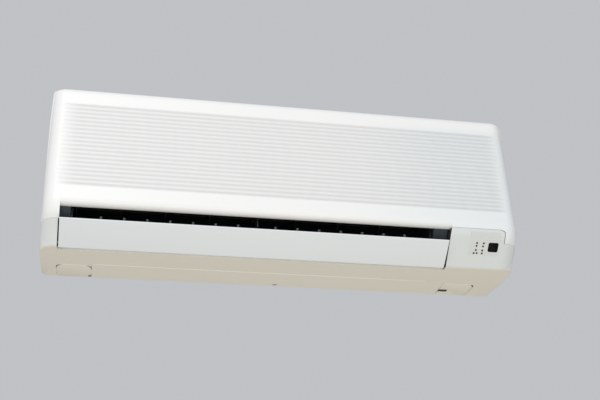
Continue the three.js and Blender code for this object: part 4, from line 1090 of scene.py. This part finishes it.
def build_vanes():
    wS, wH, P = (-0.864, -0.5035), (-0.5035, 0.864), (-108.4, 22.9)

    def vp(a, h):
        return (P[0] + wS[0] * a + wH[0] * h, P[1] + wS[1] * a + wH[1] * h)

    def rod(x, a, r, h0, h1, n=20):
        rings = []
        for h in (h0, h1):
            c = vp(a, h)
            rings.append([(x + r * math.cos(2 * math.pi * i / n), c[0] + wS[0] * r * math.sin(2 * math.pi * i / n),
                           c[1] + wS[1] * r * math.sin(2 * math.pi * i / n)) for i in range(n)])
        return loft(rings)
    for i, x in enumerate(VANE_X):
        tip = [vp(15.15 + 2.3 * math.cos(f) * 0.95, 45.7 + 2.3 * math.sin(f)) for f in [math.pi * k / 10 for k in range(0, 11)]]
        outline = [vp(-16, 2), vp(11, 2), vp(14.6, 18), vp(17.2, 32), vp(18.2, 41)] + tip + [vp(6, 34), vp(-3, 24), vp(-11, 15), vp(-15, 10)]
        rings = []
        for dx, k in ((-0.7, 0.94), (-0.45, 1.0), (0.45, 1.0), (0.7, 0.94)):
            cy = sum(p[0] for p in outline) / len(outline)
            cz = sum(p[1] for p in outline) / len(outline)
            rings.append([(x + dx, cy + (y - cy) * k, cz + (z - cz) * k) for y, z in outline])
        v = loft(rings)
        uni(v, px([vp(16.9, 41.5)] + tip[1:-1] + [vp(13.4, 41.5)], x - 1.7, x + 1.7))
        cut(v, px([vp(-20, 3.6), vp(-4.5, 3.6), vp(-4.5, 8.4), vp(-20, 8.4)], x - 3, x + 3))
        uni(v, rod(x, -10, 1.1, 2.6, 9), rod(x, 0, 1.7, -5, 3))
        side, k = ("left", i + 1) if i < 7 else ("right", i - 6)
        if k == 4:
            uni(v, px([vp(8, 22), vp(16, 22), vp(17, 33), vp(9, 33)], x - 2, x + 2))
        nm = "vane_%s_%d" % (side, k)
        finish_piece(v, nm + "_blade", M_TICK, nm, nm, 25)


VANE_X = [-302.9, -266, -229.1, -192.2, -155.3, -118.4, -81.5, -19.4, 17.5, 54.4, 91.3, 128.2, 165.1, 202]
build_fins("coil_lower_front", (-139, 89.5), (-125.5, 176), (0.1, 0.37, 0.63, 0.9))
build_fins("coil_upper_front", (-124, 182), (-88, 240.8), (0.1, 0.37, 0.63, 0.9))
build_fins("coil_rear", (-70.2, 243.5), (-31.5, 192), (0.14, 0.42, 0.66, 0.9))
build_fan()
build_screw()
build_vanes()

def strands(paths, w):
    """Thin square strands along paths of (x, y, z) points, all in one mesh."""
    bm = bmesh.new()
    for path in paths:
        rings = []
        for i, p in enumerate(path):
            a, b = Vector(path[max(0, i - 1)]), Vector(path[min(len(path) - 1, i + 1)])
            d = (b - a).normalized()
            u = d.cross(Vector((1, 0, 0)) if abs(d.x) < 0.5 else Vector((0, 0, 1))).normalized() * (w / 2)
            v = d.cross(u).normalized() * (w / 2)
            q = Vector(p)
            rings.append([bm.verts.new((c.x * MM, c.y * MM, (c.z - Z_REF) * MM)) for c in (q + u + v, q + u - v, q - u - v, q - u + v)])
        for r0, r1 in zip(rings, rings[1:]):
            for k in range(4):
                bm.faces.new((r0[k], r0[(k + 1) % 4], r1[(k + 1) % 4], r1[k]))
        bm.faces.new(rings[0][::-1])
        bm.faces.new(rings[-1])
    return to_object(bm, "strands")


def build_mesh(name, x0, x1):
    """Woven net of a dust filter, held in the middle of its frame's thickness."""
    way = [(face_y(104, 13.5), 104), (face_y(175, 13.5), 175), (face_y(246, 13.5), 246), (face_y(252, 16.5), 252.2), (-112.6, 263.6),
           (-95.7, 271.1), (-47, 274.3)]
    down, across = [], []
    n = int((x1 - x0 - 12) / 2.3)
    for i in range(n + 1):
        x = x0 + 6 + (x1 - x0 - 12) * i / n
        down.append([(x, y, z) for y, z in way])
    for (ya, za), (yb, zb) in (((face_y(106, 13.5), 106), (face_y(243, 13.5), 243)), ((-110, 264.8), (-96, 271)), ((-95, 271.2), (-49, 274.1))):
        m = int(math.hypot(yb - ya, zb - za) / 2.3)
        for i in range(m + 1):
            t = i / m
            across.append([(x0 + 6, ya + (yb - ya) * t, za + (zb - za) * t), (x1 - 6, ya + (yb - ya) * t, za + (zb - za) * t)])
    finish_piece(strands(down + across, 0.34), name + "_net", M_MESH, name)


build_mesh("filter_left", -339, -47)
build_mesh("filter_right", -43, 249)

def round_pipe(node, pts, r, tension=0.35, sub=7, n=28):
    """Smooth round tube through points, along the same curve as its CAD node."""
    P = [Vector(q) for q in pts]
    P = [P[0] * 2 - P[1]] + P + [P[-1] * 2 - P[-2]]
    way = []
    for i in range(1, len(P) - 2):
        t0, t1 = (P[i + 1] - P[i - 1]) * tension, (P[i + 2] - P[i]) * tension
        for k in range(sub):
            t = k / sub
            way.append(P[i] * (2 * t ** 3 - 3 * t ** 2 + 1) + t0 * (t ** 3 - 2 * t ** 2 + t)
                       + P[i + 1] * (-2 * t ** 3 + 3 * t ** 2) + t1 * (t ** 3 - t ** 2))
    way.append(P[-2])
    bm = bmesh.new()
    rings, u = [], None
    for i, q in enumerate(way):
        d = (way[min(len(way) - 1, i + 1)] - way[max(0, i - 1)]).normalized()
        u = (Vector((0, 0, 1)) if u is None else u)
        u = (u - d * u.dot(d)).normalized()
        v = d.cross(u)
        rings.append([bm.verts.new(tuple((c - Vector((0, 0, Z_REF))) * MM for c in
                      [q + (u * math.cos(2 * math.pi * k / n) + v * math.sin(2 * math.pi * k / n)) * r])[0]) for k in range(n)])
    for r0, r1 in zip(rings, rings[1:]):
        for k in range(n):
            bm.faces.new((r0[k], r0[(k + 1) % n], r1[(k + 1) % n], r1[k]))
    bm.faces.new(rings[0][::-1])
    bm.faces.new(rings[-1])
    finish_piece(to_object(bm, node), node + "_round", M_COPPER, "root", node, 40)


def on_line(a, b, t):
    return (a[0] + (b[0] - a[0]) * t, a[1] + (b[1] - a[1]) * t)


gas_end, liquid_end = on_line((-70.2, 243.5), (-31.5, 192), 0.9), on_line((-124, 182), (-88, 240.8), 0.9)
round_pipe("gas_pipe", [(242, *gas_end), (262, *gas_end), (306, -31, 190), (312, -28, 170), (312, -28, 80), (306, -30, 46),
                        (285, -31, 40), (240, -31, 40), (100, -31, 40), (-40, -31, 40)], 4.25)
round_pipe("liquid_pipe", [(242, *liquid_end), (268, *liquid_end), (312, -60, 238), (320, -30, 220), (322, -28, 180), (322, -28, 60),
                           (314, -34, 24), (290, -36, 20), (240, -36, 20), (100, -36, 20), (-10, -36, 20)], 2.8)

CARRY = {
    "rear_chassis": M_CHASSIS, "mounting_plate": M_ZINC, "drain_pan": M_FOAM,
    "drain_plug": M_RUBBER,
    "coil_top_seal": M_RUBBER, "coil_end_plate_left": M_COPPER, "coil_end_plate_right": M_COPPER,
    "gas_flare_nut": M_BRASS, "liquid_flare_nut": M_BRASS,
    "fan_shaft": M_STEEL, "fan_bearing": M_RUBBER, "fan_motor": M_MOTOR,
    "motor_clamp": M_CHASSIS, "flap_gear": M_GEAR, "flap_drive_gear": M_GEAR, "flap_motor": M_ZINC,
    "vane_link_left": M_DARK, "vane_link_right": M_DARK, "outlet_block_left": M_BLOCK, "outlet_block_right": M_BLOCK,
    "outlet_stay": M_DARK, "filter_left": M_FILTER, "filter_right": M_FILTER, "electric_box": M_GREY,
    "electric_box_cover": M_ZINC, "control_board": M_BOARD, "terminal_block": M_GREY, "emergency_button": M_PANEL,
    "button_switch": M_GREY, "room_sensor": M_GREY, 
    "display_board": M_BOARD,
}
for n_, m_ in CARRY.items():
    carry(n_, m_)


# ------------------------------------------------------------------ stage and light
def stage():
    bm = bmesh.new()
    n = 24
    for i in range(n + 1):
        for j in range(n + 1):
            bm.verts.new((-8 + 16 * i / n, -8 + 16 * j / n, -2.45))
    bm.verts.ensure_lookup_table()
    for i in range(n):
        for j in range(n):
            a = i * (n + 1) + j
            bm.faces.new([bm.verts[k] for k in (a, a + n + 1, a + n + 2, a + 1)])
    o = to_object(bm, "studio_floor")
    o.data.materials.append(mat("floor_pale", (0.74, 0.71, 0.66), 0.75, var=0.02, grain=0.1, grain_mm=4, blotch_mm=900))


def area(name, loc, target, size, power, colour, size_y=None):
    d = bpy.data.lights.new(name, "AREA")
    d.shape = "RECTANGLE"
    d.size = size
    d.size_y = size_y or size
    d.energy = power
    d.color = colour
    o = bpy.data.objects.new(name, d)
    o.location = loc
    o.rotation_euler = (Vector(target) - Vector(loc)).to_track_quat("-Z", "Y").to_euler()
    scene.collection.objects.link(o)
    return o


stage()
world = bpy.data.worlds.new("studio")
world.use_nodes = True
world.node_tree.nodes["Background"].inputs["Color"].default_value = (0.79, 0.81, 0.838, 1)
world.node_tree.nodes["Background"].inputs["Strength"].default_value = 0.665
scene.world = world
area("key", (-1.25, -2.4, 1.75), (0, -0.1, 0), 1.6, 43, (1.0, 0.978, 0.95))
area("front", (-0.3, -2.7, -1.1), (0, -0.1, 0), 2.0, 20, (0.89, 0.96, 1.0))
area("under", (0.2, -0.9, -1.6), (0, -0.05, -0.1), 1.6, 7.0, (1.0, 0.87, 0.67))
scene.view_settings.view_transform = "Standard"
scene.view_settings.look = "None"
scene.view_settings.exposure = 0.0
